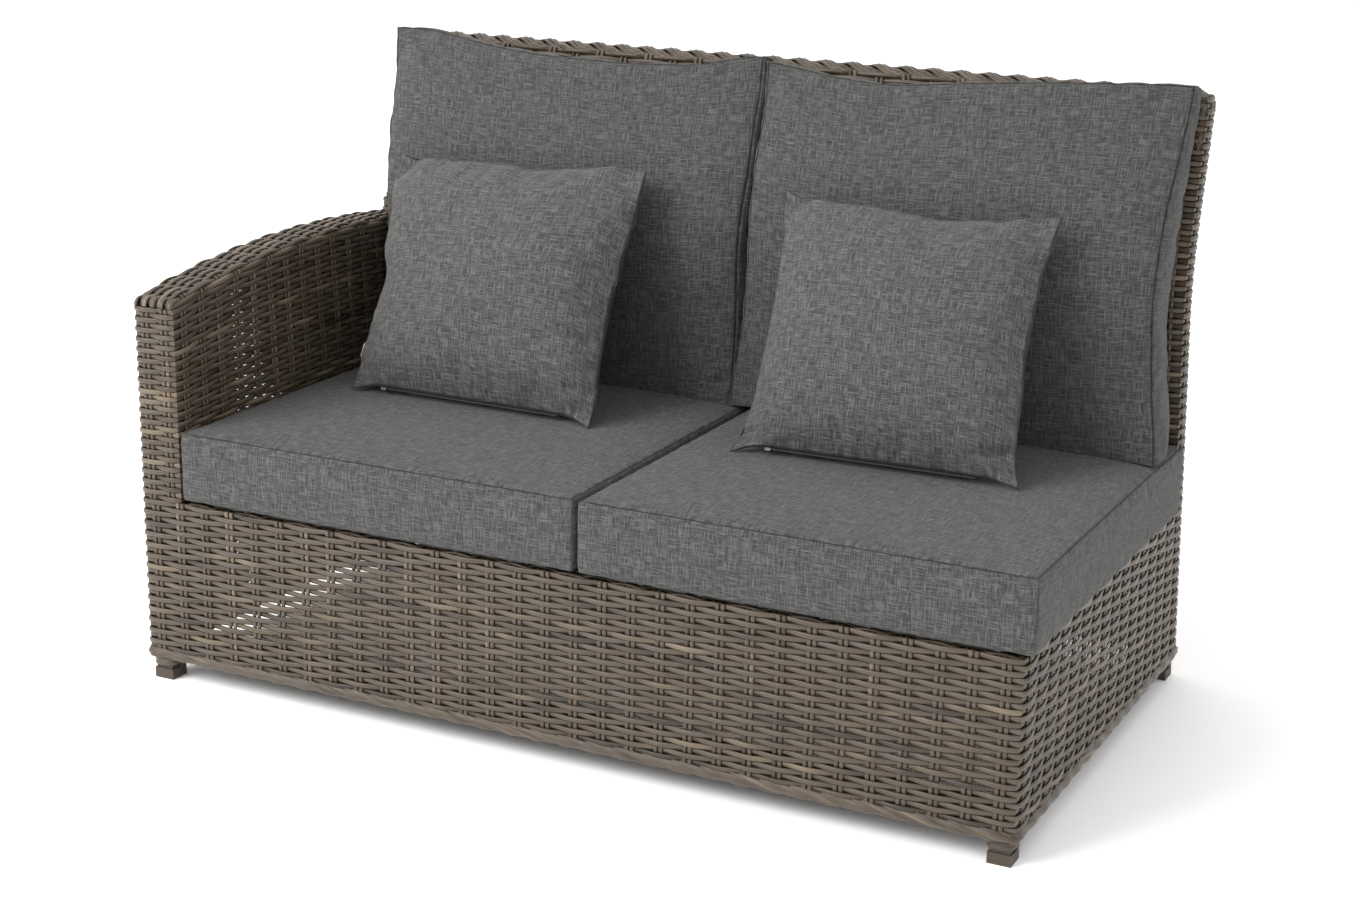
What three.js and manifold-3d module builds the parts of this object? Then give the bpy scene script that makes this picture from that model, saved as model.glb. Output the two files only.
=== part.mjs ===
// Woven garden sofa: a two-seat end section with one arm, in millimetres.
// +X points right as seen from the front, +Y is the back, +Z is up.
// Left and right in the names are as seen from the front.
import * as THREE from 'three';
import { mergeVertices } from 'three/addons/utils/BufferGeometryUtils.js';
import Module from 'manifold-3d';

const wasm = await Module();
wasm.setup();

// Overall sizes of the woven body
const bodyWidth = 1450;
const skirtBottom = 42;
const skirtHeight = 260;
const armRise = 362;
const backAboveArm = 296;
const wickerThickness = 9;
const fitGap = 0.3;
const cutOverrun = 5;

// Welded frame of square tube
const tubeSize = 30;
const tubeWall = 1.5;
const bottomRailLift = 8;
const crossBarCount = 3;
const crossBarWidth = 25;

// Rear outline: the legs splay back, and above the knee the back reclines
const kneeY = 730;
const kneeAboveArm = 19;
const kneeRadius = 400;
const kneeSteps = 6;
const legSplayDegrees = 7.6;
const reclineDegrees = 13.4;

// Arm, with its top edge on one large arc
const armCrestY = 430;
const armArcRadius = 2255;
const armStep = 60;

// Feet
const capFloor = 5;
const capHeight = 17;
const capWall = 2;
const legWrapThickness = 5;

// Seat cushions
const seatSplitShift = 3;
const cushionGap = 4;
const seatCushionThickness = 115;
const seatCushionCrown = 9;
const seatFrontOverhang = 4;
const seatSideOverhang = 13;
const seatRearClearance = 6;
const armClearance = 2;

// Back cushions
const backArmClearance = 12;
const backEndInset = 19;
const backSplitShift = 7;
const backCushionRise = 11;
const backCushionThickness = 108;
const backCushionCrown = 42;
const backCushionClearance = 1;
const backCushionLift = 3;

// Scatter cushions, near square covers with knife edges
const scatterWidth = 450;
const scatterHeight = 430;
const scatterEdge = 9;
const scatterCrown = 68;
const scatterDrawIn = 17;
const scatterSeatGap = 1;
const leftScatterShift = -21;
const leftScatterForward = 409;
const leftScatterTurnDegrees = -1;
const leftScatterLeanDegrees = 30;
const rightScatterShift = -26;
const rightScatterForward = 409;
const rightScatterTurnDegrees = 2;
const rightScatterLeanDegrees = 30;

// Zip along the lower seam of each scatter cushion, and its slider
const zipLength = 330;
const zipWidth = 5;
const zipHeight = 2.5;
const sliderParkInset = 3;
const sliderLength = 9;
const sliderWall = 1.4;
const sliderHeight = 4.5;

// Blank label sewn in the left scatter cushion's side seam
const labelWidth = 10;
const labelHeight = 22;
const labelThickness = 1;
const labelUp = 60;

// Finishes
const wickerFinish = { color: 0x74695f, roughness: 0.7, metalness: 0 };
const fabricFinish = { color: 0x6b6b6b, roughness: 0.95, metalness: 0 };
const tubeFinish = { color: 0x4a4640, roughness: 0.5, metalness: 0.3 };
const capFinish = { color: 0x6a6c66, roughness: 0.6, metalness: 0 };
const zipFinish = { color: 0x3b3b3d, roughness: 0.8, metalness: 0 };
const sliderFinish = { color: 0xb4b4b0, roughness: 0.35, metalness: 1 };
const labelFinish = { color: 0xe2e0dc, roughness: 0.9, metalness: 0 };

// Places that several pieces share
const skinStep = wickerThickness + fitGap;
const legSplay = THREE.MathUtils.degToRad(legSplayDegrees);
const recline = THREE.MathUtils.degToRad(reclineDegrees);
const seatDeckTop = skirtBottom + skirtHeight;
const armCrestZ = seatDeckTop + armRise;
const kneeZ = armCrestZ + kneeAboveArm;
const backTop = armCrestZ + backAboveArm;
const halfWidth = bodyWidth / 2;
const frameRight = halfWidth - skinStep;
const frameLeft = -frameRight;
const frameFront = skinStep;
const railTop = seatDeckTop - skinStep;
const railBottom = railTop - tubeSize;
const armWidth = 2 * tubeSize + fitGap + 2 * skinStep;
const armInnerX = -halfWidth + armWidth;
const innerRailLeft = frameLeft + tubeSize + fitGap;
const backThickness = tubeSize + 2 * skinStep;
const seatCushionBottom = seatDeckTop + fitGap;
const seatCushionTop = seatCushionBottom + seatCushionThickness + seatCushionCrown;
const seatLeftEnd = armInnerX + armClearance;
const seatRightEnd = halfWidth + seatSideOverhang;
const seatSplitX = (seatLeftEnd + seatRightEnd) / 2 + seatSplitShift;
const backLeftEnd = armInnerX + backArmClearance;
const backRightEnd = halfWidth - backEndInset;
const backSplitX = (backLeftEnd + backRightEnd) / 2 + backSplitShift;
const backCushionHeight = backTop - seatCushionTop + backCushionRise;

const sofa = new THREE.Group();

// A direction that points back and up from the rear outline, at the outline's lean
function rearNormal(lean) {
  return new THREE.Vector2(Math.cos(lean), Math.sin(lean));
}

// The knee's arc centre lies behind the corner where the two straight stretches would meet
const kneeMiddleLean = (legSplay - recline) / 2;
const kneeCentreDistance = kneeRadius / Math.cos((legSplay + recline) / 2);
const kneeCentre = rearNormal(kneeMiddleLean)
  .multiplyScalar(kneeCentreDistance)
  .add(new THREE.Vector2(kneeY, kneeZ));

// A point of the rear outline moved forward by inset, at one lean of the knee's arc
function kneePoint(inset, lean) {
  return kneeCentre.clone().addScaledVector(rearNormal(lean), -(kneeRadius + inset));
}

// How far back the rear outline, moved forward by inset, stands at height z
function rearY(inset, z) {
  const low = kneePoint(inset, legSplay);
  const high = kneePoint(inset, -recline);
  if (z < low.y) return low.x + (low.y - z) * Math.tan(legSplay);
  if (z > high.y) return high.x + (z - high.y) * Math.tan(recline);
  const radius = kneeRadius + inset;
  return kneeCentre.x - Math.sqrt(radius ** 2 - (kneeCentre.y - z) ** 2);
}

// The outline moved forward by inset, from height low to height high, as side-view points
function rearCurve(inset, low, high) {
  const points = [new THREE.Vector2(rearY(inset, low), low)];
  for (let i = 0; i <= kneeSteps; i += 1) {
    const lean = THREE.MathUtils.lerp(legSplay, -recline, i / kneeSteps);
    const point = kneePoint(inset, lean);
    if (point.y > low && point.y < high) points.push(point);
  }
  points.push(new THREE.Vector2(rearY(inset, high), high));
  return points;
}

// A side-view band of the back between two insets
function rearBand(nearInset, farInset, low, high) {
  return [...rearCurve(nearInset, low, high), ...rearCurve(farInset, low, high).reverse()];
}

// Height of the arm's top arc at y, lowered by drop square to the arc
function armTopZ(drop, y) {
  const radius = armArcRadius - drop;
  return armCrestZ - armArcRadius + Math.sqrt(radius ** 2 - (y - armCrestY) ** 2);
}

// The arm's top arc as side-view points from front to rear
function armCurve(drop, front, rear) {
  const point = (y) => new THREE.Vector2(y, armTopZ(drop, y));
  const points = [point(front)];
  for (let y = (Math.floor(front / armStep) + 1) * armStep; y < rear; y += armStep) {
    points.push(point(y));
  }
  points.push(point(rear));
  return points;
}

// How far back a piece below the arm's arc may reach at the back's inset
function armRear(inset, drop) {
  return rearY(inset, armTopZ(drop, rearY(inset, armCrestZ)));
}

function material(finish) {
  return new THREE.MeshStandardMaterial(finish);
}

function addMesh(name, geometry, finish, parent = sofa) {
  const mesh = new THREE.Mesh(geometry, material(finish));
  mesh.name = name;
  parent.add(mesh);
  return mesh;
}

// A closed geometry as a solid that can be joined and cut
function toSolid(geometry) {
  const bare = geometry.index ? geometry.toNonIndexed() : geometry.clone();
  bare.deleteAttribute('normal');
  bare.deleteAttribute('uv');
  const merged = mergeVertices(bare);
  return new wasm.Manifold(new wasm.Mesh({
    numProp: 3,
    vertProperties: new Float32Array(merged.attributes.position.array),
    triVerts: new Uint32Array(merged.index.array),
  }));
}

function toGeometry(solid) {
  const mesh = solid.getMesh();
  const geometry = new THREE.BufferGeometry();
  geometry.setAttribute('position', new THREE.BufferAttribute(mesh.vertProperties, mesh.numProp));
  geometry.setIndex(new THREE.BufferAttribute(mesh.triVerts, 1));
  geometry.computeVertexNormals();
  return geometry;
}

// Side-view points, as (y, z), pushed across from x left to x right
function acrossGeometry(points, left, right) {
  const geometry = new THREE.ExtrudeGeometry(new THREE.Shape(points), {
    depth: right - left,
    bevelEnabled: false,
  });
  const turn = new THREE.Matrix4().makeBasis(
    new THREE.Vector3(0, 1, 0),
    new THREE.Vector3(0, 0, 1),
    new THREE.Vector3(1, 0, 0),
  );
  return geometry.applyMatrix4(turn).translate(left, 0, 0);
}

// Front-view points, as (x, z), pushed back from y front
function backwardGeometry(points, front, depth) {
  const geometry = new THREE.ExtrudeGeometry(new THREE.Shape(points), {
    depth,
    bevelEnabled: false,
  });
  return geometry.rotateX(Math.PI / 2).translate(0, front + depth, 0);
}

function acrossSolid(points, left, right) {
  return toSolid(acrossGeometry(points, left, right));
}

function addAcross(name, points, left, right, finish) {
  return addMesh(name, acrossGeometry(points, left, right), finish);
}

function rectangle(low, high, bottom, top) {
  return [
    new THREE.Vector2(low, bottom),
    new THREE.Vector2(high, bottom),
    new THREE.Vector2(high, top),
    new THREE.Vector2(low, top),
  ];
}

// A tube whose side view is outline and whose bore, open at both ends, is the smaller bore outline
function addSideTube(name, outline, bore, left, right) {
  const solid = acrossSolid(outline, left, right)
    .subtract(acrossSolid(bore, left + tubeWall, right - tubeWall));
  return addMesh(name, toGeometry(solid), tubeFinish);
}

// A tube that runs from left to right with side view outline, bored along its length
function addCrossTube(name, outline, bore, left, right) {
  const solid = acrossSolid(outline, left, right)
    .subtract(acrossSolid(bore, left - cutOverrun, right + cutOverrun));
  return addMesh(name, toGeometry(solid), tubeFinish);
}

// Side view of a front leg or of a rear leg, grown by grow, between two heights
function frontLegOutline(grow, bottom, top) {
  return rectangle(frameFront - grow, frameFront + tubeSize + grow, bottom, top);
}

function rearLegOutline(grow, bottom, top) {
  return rearBand(skinStep - grow, skinStep + tubeSize + grow, bottom, top);
}

const legs = [
  { name: 'front_left', left: frameLeft, outline: frontLegOutline },
  { name: 'front_right', left: frameRight - tubeSize, outline: frontLegOutline },
  { name: 'rear_left', left: frameLeft, outline: rearLegOutline },
  { name: 'rear_right', left: frameRight - tubeSize, outline: rearLegOutline },
];

function addFoot(leg) {
  const right = leg.left + tubeSize;
  const grow = fitGap + capWall;
  const cup = acrossSolid(leg.outline(grow, 0, capHeight), leg.left - grow, right + grow);
  const pocket = acrossSolid(
    leg.outline(fitGap, capFloor, capHeight + cutOverrun),
    leg.left - fitGap,
    right + fitGap,
  );
  addMesh(`foot_cap_${leg.name}`, toGeometry(cup.subtract(pocket)), capFinish);

  const wrapGrow = fitGap + legWrapThickness;
  const wrap = acrossSolid(
    leg.outline(wrapGrow, capHeight + fitGap, skirtBottom - fitGap),
    leg.left - wrapGrow,
    right + wrapGrow,
  );
  const core = acrossSolid(
    leg.outline(fitGap, capHeight - cutOverrun, skirtBottom + cutOverrun),
    leg.left - fitGap,
    right + fitGap,
  );
  addMesh(`leg_wrap_${leg.name}`, toGeometry(wrap.subtract(core)), wickerFinish);
}

// Vertical tubes at the front: the left one runs up to the arm's outer rail
const legBottom = capFloor + fitGap;
const railDrop = skinStep;
const postDrop = railDrop + tubeSize + fitGap;
const frontPostY = [frameFront, frameFront + tubeSize];

function addFrontPosts() {
  const [front, rear] = frontPostY;
  const boreFront = front + tubeWall;
  const boreRear = rear - tubeWall;
  addSideTube(
    'front_leg_right',
    frontLegOutline(0, legBottom, railTop),
    frontLegOutline(-tubeWall, legBottom - cutOverrun, railTop + cutOverrun),
    frameRight - tubeSize,
    frameRight,
  );
  addSideTube(
    'front_post_left',
    [
      new THREE.Vector2(front, legBottom),
      new THREE.Vector2(rear, legBottom),
      new THREE.Vector2(rear, armTopZ(postDrop, rear)),
      new THREE.Vector2(front, armTopZ(postDrop, front)),
    ],
    rectangle(boreFront, boreRear, legBottom - cutOverrun, armCrestZ),
    frameLeft,
    frameLeft + tubeSize,
  );
  addSideTube(
    'arm_inner_front_post',
    [
      new THREE.Vector2(front, railTop + fitGap),
      new THREE.Vector2(rear, railTop + fitGap),
      new THREE.Vector2(rear, armTopZ(postDrop, rear)),
      new THREE.Vector2(front, armTopZ(postDrop, front)),
    ],
    rectangle(boreFront, boreRear, railTop - cutOverrun, armCrestZ),
    innerRailLeft,
    innerRailLeft + tubeSize,
  );
}

// Rear uprights run in one bent piece from the floor to the top of the back
const uprightTop = backTop - skinStep;
const uprightFar = skinStep + tubeSize;

function addUpright(name, left, bottom, top) {
  addSideTube(
    name,
    rearBand(skinStep, uprightFar, bottom, top),
    rearBand(skinStep + tubeWall, uprightFar - tubeWall, bottom - cutOverrun, top + cutOverrun),
    left,
    left + tubeSize,
  );
}

function addUprights() {
  const topRailBottom = uprightTop - tubeSize;
  addUpright('rear_upright_left', frameLeft, legBottom, uprightTop);
  addUpright('rear_upright_right', frameRight - tubeSize, legBottom, uprightTop);
  addUpright('back_centre_upright', -tubeSize / 2, railTop + fitGap, topRailBottom - fitGap);
}

// Rails that run from left to right between the corner posts
function addWidthRails() {
  const left = frameLeft + tubeSize + fitGap;
  const right = frameRight - tubeSize - fitGap;
  const lowBottom = skirtBottom + bottomRailLift;
  const frontRail = (name, bottom) => addCrossTube(
    name,
    frontLegOutline(0, bottom, bottom + tubeSize),
    frontLegOutline(-tubeWall, bottom + tubeWall, bottom + tubeSize - tubeWall),
    left,
    right,
  );
  const rearRail = (name, bottom) => addCrossTube(
    name,
    rearBand(skinStep, uprightFar, bottom, bottom + tubeSize),
    rearBand(skinStep + tubeWall, uprightFar - tubeWall, bottom + tubeWall, bottom + tubeSize - tubeWall),
    left,
    right,
  );
  frontRail('base_front_bottom_rail', lowBottom);
  frontRail('base_front_top_rail', railBottom);
  rearRail('base_rear_bottom_rail', lowBottom);
  rearRail('base_rear_top_rail', railBottom);
  rearRail('back_top_rail', uprightTop - tubeSize);
}

// Side view of a rail from the front frame to the rear frame, with its rear end cut to the splay
function depthRailOutline(shrink, bottom, overrun) {
  const front = frameFront + tubeSize + fitGap - overrun;
  const low = bottom + shrink;
  const high = bottom + tubeSize - shrink;
  const inset = uprightFar + fitGap;
  return [
    new THREE.Vector2(front, low),
    new THREE.Vector2(rearY(inset, low) + overrun, low),
    new THREE.Vector2(rearY(inset, high) + overrun, high),
    new THREE.Vector2(front, high),
  ];
}

function addDepthRail(name, left, width, bottom) {
  addSideTube(
    name,
    depthRailOutline(0, bottom, 0),
    depthRailOutline(tubeWall, bottom, cutOverrun),
    left,
    left + width,
  );
}

function addDepthRails() {
  const lowBottom = skirtBottom + bottomRailLift;
  const rightRail = frameRight - tubeSize;
  addDepthRail('base_left_bottom_rail', frameLeft, tubeSize, lowBottom);
  addDepthRail('base_left_top_rail', frameLeft, tubeSize, railBottom);
  addDepthRail('arm_inner_bottom_rail', innerRailLeft, tubeSize, railBottom);
  addDepthRail('base_right_bottom_rail', rightRail, tubeSize, lowBottom);
  addDepthRail('base_right_top_rail', rightRail, tubeSize, railBottom);
  const span = rightRail - (innerRailLeft + tubeSize);
  const pitch = span / (crossBarCount + 1);
  for (let i = 1; i <= crossBarCount; i += 1) {
    const left = innerRailLeft + tubeSize + i * pitch - crossBarWidth / 2;
    addDepthRail(`seat_cross_bar_${i}`, left, crossBarWidth, railBottom);
  }
}

// A side-view band under the arm's top arc that ends against the back at one inset
function armBand(near, far, front, rearInset, overrun) {
  const upper = armCurve(near, front - overrun, armRear(rearInset, near) + overrun);
  const lower = armCurve(far, front - overrun, armRear(rearInset, far) + overrun);
  return [...lower, ...upper.reverse()];
}

function addArmFrame() {
  const railFar = railDrop + tubeSize;
  const addTopRail = (name, left, rearInset) => addSideTube(
    name,
    armBand(railDrop, railFar, frameFront, rearInset, 0),
    armBand(railDrop + tubeWall, railFar - tubeWall, frameFront, rearInset, cutOverrun),
    left,
    left + tubeSize,
  );
  const backInset = backThickness + fitGap;
  addTopRail('arm_outer_top_rail', frameLeft, uprightFar + fitGap);
  addTopRail('arm_inner_top_rail', innerRailLeft, backInset);

  const postBottom = railTop + fitGap;
  const front = backInset + tubeSize;
  const top = armTopZ(postDrop, armRear(backInset, postDrop));
  addSideTube(
    'arm_inner_rear_post',
    rearBand(backInset, front, postBottom, top),
    rearBand(backInset + tubeWall, front - tubeWall, postBottom - cutOverrun, top + cutOverrun),
    innerRailLeft,
    innerRailLeft + tubeSize,
  );
}

// Woven panels of the base and the arm's front
function addFrontPanels() {
  const skirt = rectangle(-halfWidth, halfWidth, skirtBottom, seatDeckTop);
  const armTop = armTopZ(skinStep, 0);
  const arm = rectangle(-halfWidth, armInnerX, seatDeckTop + fitGap, armTop);
  addMesh('wicker_front_skirt', backwardGeometry(skirt, 0, wickerThickness), wickerFinish);
  addMesh('wicker_arm_front', backwardGeometry(arm, 0, wickerThickness), wickerFinish);
}

function addSidePanels() {
  const inner = halfWidth - wickerThickness;
  const rear = rearCurve(skinStep, skirtBottom, seatDeckTop);
  const rightOutline = [
    new THREE.Vector2(frameFront, skirtBottom),
    ...rear,
    new THREE.Vector2(frameFront, seatDeckTop),
  ];
  addAcross('wicker_right_side', rightOutline, inner, halfWidth, wickerFinish);

  const top = armCurve(skinStep, frameFront, armRear(skinStep, skinStep)).reverse();
  const leftOutline = [
    new THREE.Vector2(frameFront, skirtBottom),
    ...rearCurve(skinStep, skirtBottom, top[0].y).slice(0, -1),
    ...top,
  ];
  addAcross('wicker_left_side', leftOutline, -halfWidth, -inner, wickerFinish);
}

// Woven skins of the arm above the seat
function addArmSkins() {
  const backInset = backThickness + fitGap;
  const innerLow = railTop + fitGap;
  const top = armCurve(skinStep, frameFront, armRear(backInset, skinStep)).reverse();
  const innerOutline = [
    new THREE.Vector2(frameFront, innerLow),
    ...rearCurve(backInset, innerLow, top[0].y).slice(0, -1),
    ...top,
  ];
  addAcross('wicker_arm_inner', innerOutline, armInnerX - wickerThickness, armInnerX, wickerFinish);
  addAcross(
    'wicker_arm_top',
    armBand(0, wickerThickness, 0, backInset, 0),
    -halfWidth,
    armInnerX,
    wickerFinish,
  );
}

// Woven skins of the back: rear, front, both edges and the top
function addBackSkins() {
  const frontNear = backThickness - wickerThickness;
  addAcross(
    'wicker_back_rear',
    rearBand(0, wickerThickness, skirtBottom, uprightTop),
    -halfWidth,
    halfWidth,
    wickerFinish,
  );

  const frontBand = rearBand(frontNear, backThickness, seatDeckTop + fitGap, uprightTop);
  const armOutline = [
    new THREE.Vector2(0, 0),
    new THREE.Vector2(backTop, 0),
    ...armCurve(-fitGap, 0, backTop).reverse(),
  ];
  const notch = acrossSolid(armOutline, -halfWidth - cutOverrun, armInnerX + fitGap);
  const frontSkin = acrossSolid(frontBand, -halfWidth, halfWidth).subtract(notch);
  addMesh('wicker_back_front', toGeometry(frontSkin), wickerFinish);

  const edgeNear = skinStep;
  const edgeFar = frontNear - fitGap;
  const inner = halfWidth - wickerThickness;
  addAcross(
    'wicker_back_right_edge',
    rearBand(edgeNear, edgeFar, seatDeckTop + fitGap, uprightTop),
    inner,
    halfWidth,
    wickerFinish,
  );
  const edge = acrossSolid(rearBand(edgeNear, edgeFar, railTop, uprightTop), -halfWidth, -inner);
  const belowEdge = [
    new THREE.Vector2(0, 0),
    new THREE.Vector2(backTop, 0),
    ...armCurve(wickerThickness, 0, backTop).reverse(),
  ];
  const below = acrossSolid(belowEdge, -halfWidth - cutOverrun, 0);
  addMesh('wicker_back_left_edge', toGeometry(edge.subtract(below)), wickerFinish);

  addAcross(
    'wicker_back_top',
    rearBand(0, backThickness, backTop - wickerThickness, backTop),
    -halfWidth,
    halfWidth,
    wickerFinish,
  );
}

// Woven deck that carries the seat cushions
function addSeatDeck() {
  const bottom = seatDeckTop - wickerThickness;
  const inset = uprightFar + fitGap;
  const outline = [
    new THREE.Vector2(frameFront, bottom),
    new THREE.Vector2(rearY(inset, bottom), bottom),
    new THREE.Vector2(rearY(inset, seatDeckTop), seatDeckTop),
    new THREE.Vector2(frameFront, seatDeckTop),
  ];
  const right = halfWidth - wickerThickness - fitGap;
  addAcross('wicker_seat_deck', outline, armInnerX + fitGap, right, wickerFinish);
}

// Shapes of stuffed covers, as shares of a half size from the middle to a seam
const boxFullness = { power: 4, blend: 1 };
const pillowFullness = { power: 2, blend: 0.55 };

// A stuffed cover about its own centre: crowned faces, drawn-in sides and a swelling border
function cushionGeometry(form) {
  const geometry = new THREE.BoxGeometry(2, 2, 2, form.columns, form.rows, form.layers);
  const places = geometry.attributes.position;
  for (let i = 0; i < places.count; i += 1) {
    const u = places.getX(i);
    const v = places.getY(i);
    const w = places.getZ(i);
    const corner = 1 - form.cornerShare * Math.abs(u * v) ** form.cornerPower;
    const pullX = form.sideDrawIn * (1 - Math.abs(v) ** form.drawPower);
    const pullY = form.endDrawIn * (1 - Math.abs(u) ** form.drawPower);
    const halfX = (form.width / 2 - pullX) * corner;
    const halfY = (form.height / 2 - pullY) * corner;
    const swell = form.swell * (1 - w * w);
    const full = (1 - Math.abs(u) ** form.fullness.power) * (1 - Math.abs(v) ** form.fullness.power);
    const crown = Math.max(full, 0) ** form.fullness.blend;
    const crownHere = w > 0 ? form.frontCrown : form.rearCrown;
    const pinch = 1 - form.pinchShare * (u * v) ** 2;
    places.setXYZ(
      i,
      u * (halfX + swell),
      v * (halfY + swell),
      w * (form.thickness / 2 * pinch + crownHere * crown),
    );
  }
  return geometry;
}

const seatCushionForm = {
  columns: 12,
  rows: 12,
  layers: 4,
  fullness: boxFullness,
  cornerShare: 0.012,
  cornerPower: 10,
  drawPower: 2,
  pinchShare: 0.04,
};
const seatDrawIn = 3;
const seatSwell = 4;

function addSeatCushion(name, left, right) {
  const front = -seatFrontOverhang;
  const rear = rearY(backThickness, seatCushionTop) - seatRearClearance;
  const geometry = cushionGeometry({
    ...seatCushionForm,
    width: right - left - 2 * seatSwell,
    height: rear - front - 2 * seatSwell,
    thickness: seatCushionThickness,
    sideDrawIn: seatDrawIn,
    endDrawIn: seatDrawIn,
    swell: seatSwell,
    frontCrown: seatCushionCrown,
    rearCrown: 0,
  });
  const mesh = addMesh(name, geometry, fabricFinish);
  mesh.position.set(
    (left + right) / 2,
    (front + rear) / 2,
    seatCushionBottom + seatCushionThickness / 2,
  );
}

function addSeatCushions() {
  addSeatCushion('seat_cushion_left', seatLeftEnd, seatSplitX - cushionGap / 2);
  addSeatCushion('seat_cushion_right', seatSplitX + cushionGap / 2, seatRightEnd);
}

// A point that lies out from the back's front face, at a length measured up along that face
function backFacePoint(start, along, out) {
  const inset = backThickness + backCushionClearance;
  const low = kneePoint(inset, legSplay);
  const straight = (low.y - start) / Math.cos(legSplay);
  const bend = (kneeRadius + inset) * (legSplay + recline);
  const lean = THREE.MathUtils.clamp(
    legSplay - (along - straight) / (kneeRadius + inset),
    -recline,
    legSplay,
  );
  const point = kneePoint(inset, lean);
  const up = new THREE.Vector2(-Math.sin(lean), Math.cos(lean));
  if (along < straight) point.addScaledVector(up, along - straight);
  if (along > straight + bend) point.addScaledVector(up, along - straight - bend);
  return point.addScaledVector(rearNormal(lean), -out);
}

const backCushionForm = {
  columns: 12,
  rows: 14,
  layers: 4,
  fullness: { power: 2, blend: 0.8 },
  cornerShare: 0.016,
  cornerPower: 8,
  drawPower: 2,
  pinchShare: 0.42,
};
const backSideDrawIn = 4;
const backEndDrawIn = 18;
const backSwell = 5;

// The cushion is shaped flat, then laid on the curve of the back and flattened where it stands on the seat
function addBackCushion(name, left, right) {
  const geometry = cushionGeometry({
    ...backCushionForm,
    width: right - left - 2 * backSwell,
    height: backCushionHeight - 2 * backSwell,
    thickness: backCushionThickness,
    sideDrawIn: backSideDrawIn,
    endDrawIn: backEndDrawIn,
    swell: backSwell,
    frontCrown: backCushionCrown,
    rearCrown: 0,
  });
  const rest = seatCushionTop + fitGap;
  const places = geometry.attributes.position;
  for (let i = 0; i < places.count; i += 1) {
    const along = places.getY(i) + backCushionHeight / 2 + backCushionLift;
    const out = places.getZ(i) + backCushionThickness / 2;
    const point = backFacePoint(rest, along, out);
    places.setXYZ(i, places.getX(i), point.x, Math.max(point.y, rest));
  }
  const mesh = addMesh(name, geometry, fabricFinish);
  mesh.position.x = (left + right) / 2;
}

function addBackCushions() {
  addBackCushion('back_cushion_left', backLeftEnd, backSplitX - cushionGap / 2);
  addBackCushion('back_cushion_right', backSplitX + cushionGap / 2, backRightEnd);
}

const scatterForm = {
  columns: 16,
  rows: 16,
  layers: 1,
  fullness: pillowFullness,
  cornerShare: 0,
  cornerPower: 1,
  drawPower: 6,
  pinchShare: 0,
};

// How far a scatter cushion's seam is drawn in, at a share of its half side from the middle
function scatterSeam(share) {
  return scatterDrawIn * (1 - Math.abs(share) ** scatterForm.drawPower);
}

// A cushion that stands on its lower seam and leans back, with its zip and slider
function addScatterCushion(side, place) {
  const stand = new THREE.Group();
  const y = rearY(backThickness, seatCushionTop) - place.forward;
  stand.position.set(place.x, y, seatCushionTop + scatterSeatGap);
  stand.rotation.order = 'ZYX';
  stand.rotation.z = THREE.MathUtils.degToRad(place.turnDegrees);
  stand.rotation.x = -THREE.MathUtils.degToRad(place.leanDegrees);
  sofa.add(stand);

  const geometry = cushionGeometry({
    ...scatterForm,
    width: scatterWidth,
    height: scatterHeight,
    thickness: scatterEdge,
    sideDrawIn: scatterDrawIn,
    endDrawIn: scatterDrawIn,
    swell: 0,
    frontCrown: scatterCrown,
    rearCrown: scatterCrown,
  });
  const cushion = addMesh(`scatter_cushion_${side}`, geometry, fabricFinish, stand);
  cushion.rotation.x = Math.PI / 2;
  cushion.position.z = scatterHeight / 2;
  addZip(side, stand);
  if (side === 'left') addLabel(stand);
}

// Zip tape just under the drawn-in lower seam, and a slider that clasps it from below
function addZip(side, stand) {
  const tapeTop = scatterSeam(zipLength / scatterWidth) - fitGap;
  const tape = new THREE.BoxGeometry(zipLength, zipWidth, zipHeight);
  const tapeMesh = addMesh(`zip_${side}`, tape, zipFinish, stand);
  tapeMesh.position.z = tapeTop - zipHeight / 2;

  const half = zipWidth / 2 + fitGap;
  const outer = half + sliderWall;
  const lift = tapeTop - fitGap;
  const floor = tapeTop - zipHeight - fitGap;
  const channel = new THREE.Shape([
    new THREE.Vector2(-outer, lift),
    new THREE.Vector2(-outer, lift - sliderHeight),
    new THREE.Vector2(outer, lift - sliderHeight),
    new THREE.Vector2(outer, lift),
    new THREE.Vector2(half, lift),
    new THREE.Vector2(half, floor),
    new THREE.Vector2(-half, floor),
    new THREE.Vector2(-half, lift),
  ]);
  const slider = new THREE.ExtrudeGeometry(channel, { depth: sliderLength, bevelEnabled: false });
  slider.rotateX(Math.PI / 2).rotateZ(Math.PI / 2);
  const sliderMesh = addMesh(`zip_slider_${side}`, slider, sliderFinish, stand);
  sliderMesh.position.x = -zipLength / 2 + sliderParkInset;
}

function addLabel(stand) {
  const label = new THREE.BoxGeometry(labelWidth, labelThickness, labelHeight);
  const mesh = addMesh('sewn_label', label, labelFinish, stand);
  const seamX = scatterSeam(1 - 2 * labelUp / scatterHeight) - scatterWidth / 2;
  mesh.position.set(seamX - labelWidth / 2 - fitGap, 0, labelUp + labelHeight / 2);
}

function addScatterCushions() {
  addScatterCushion('left', {
    x: (seatLeftEnd + seatSplitX) / 2 + leftScatterShift,
    forward: leftScatterForward,
    turnDegrees: leftScatterTurnDegrees,
    leanDegrees: leftScatterLeanDegrees,
  });
  addScatterCushion('right', {
    x: (seatSplitX + seatRightEnd) / 2 + rightScatterShift,
    forward: rightScatterForward,
    turnDegrees: rightScatterTurnDegrees,
    leanDegrees: rightScatterLeanDegrees,
  });
}

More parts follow.
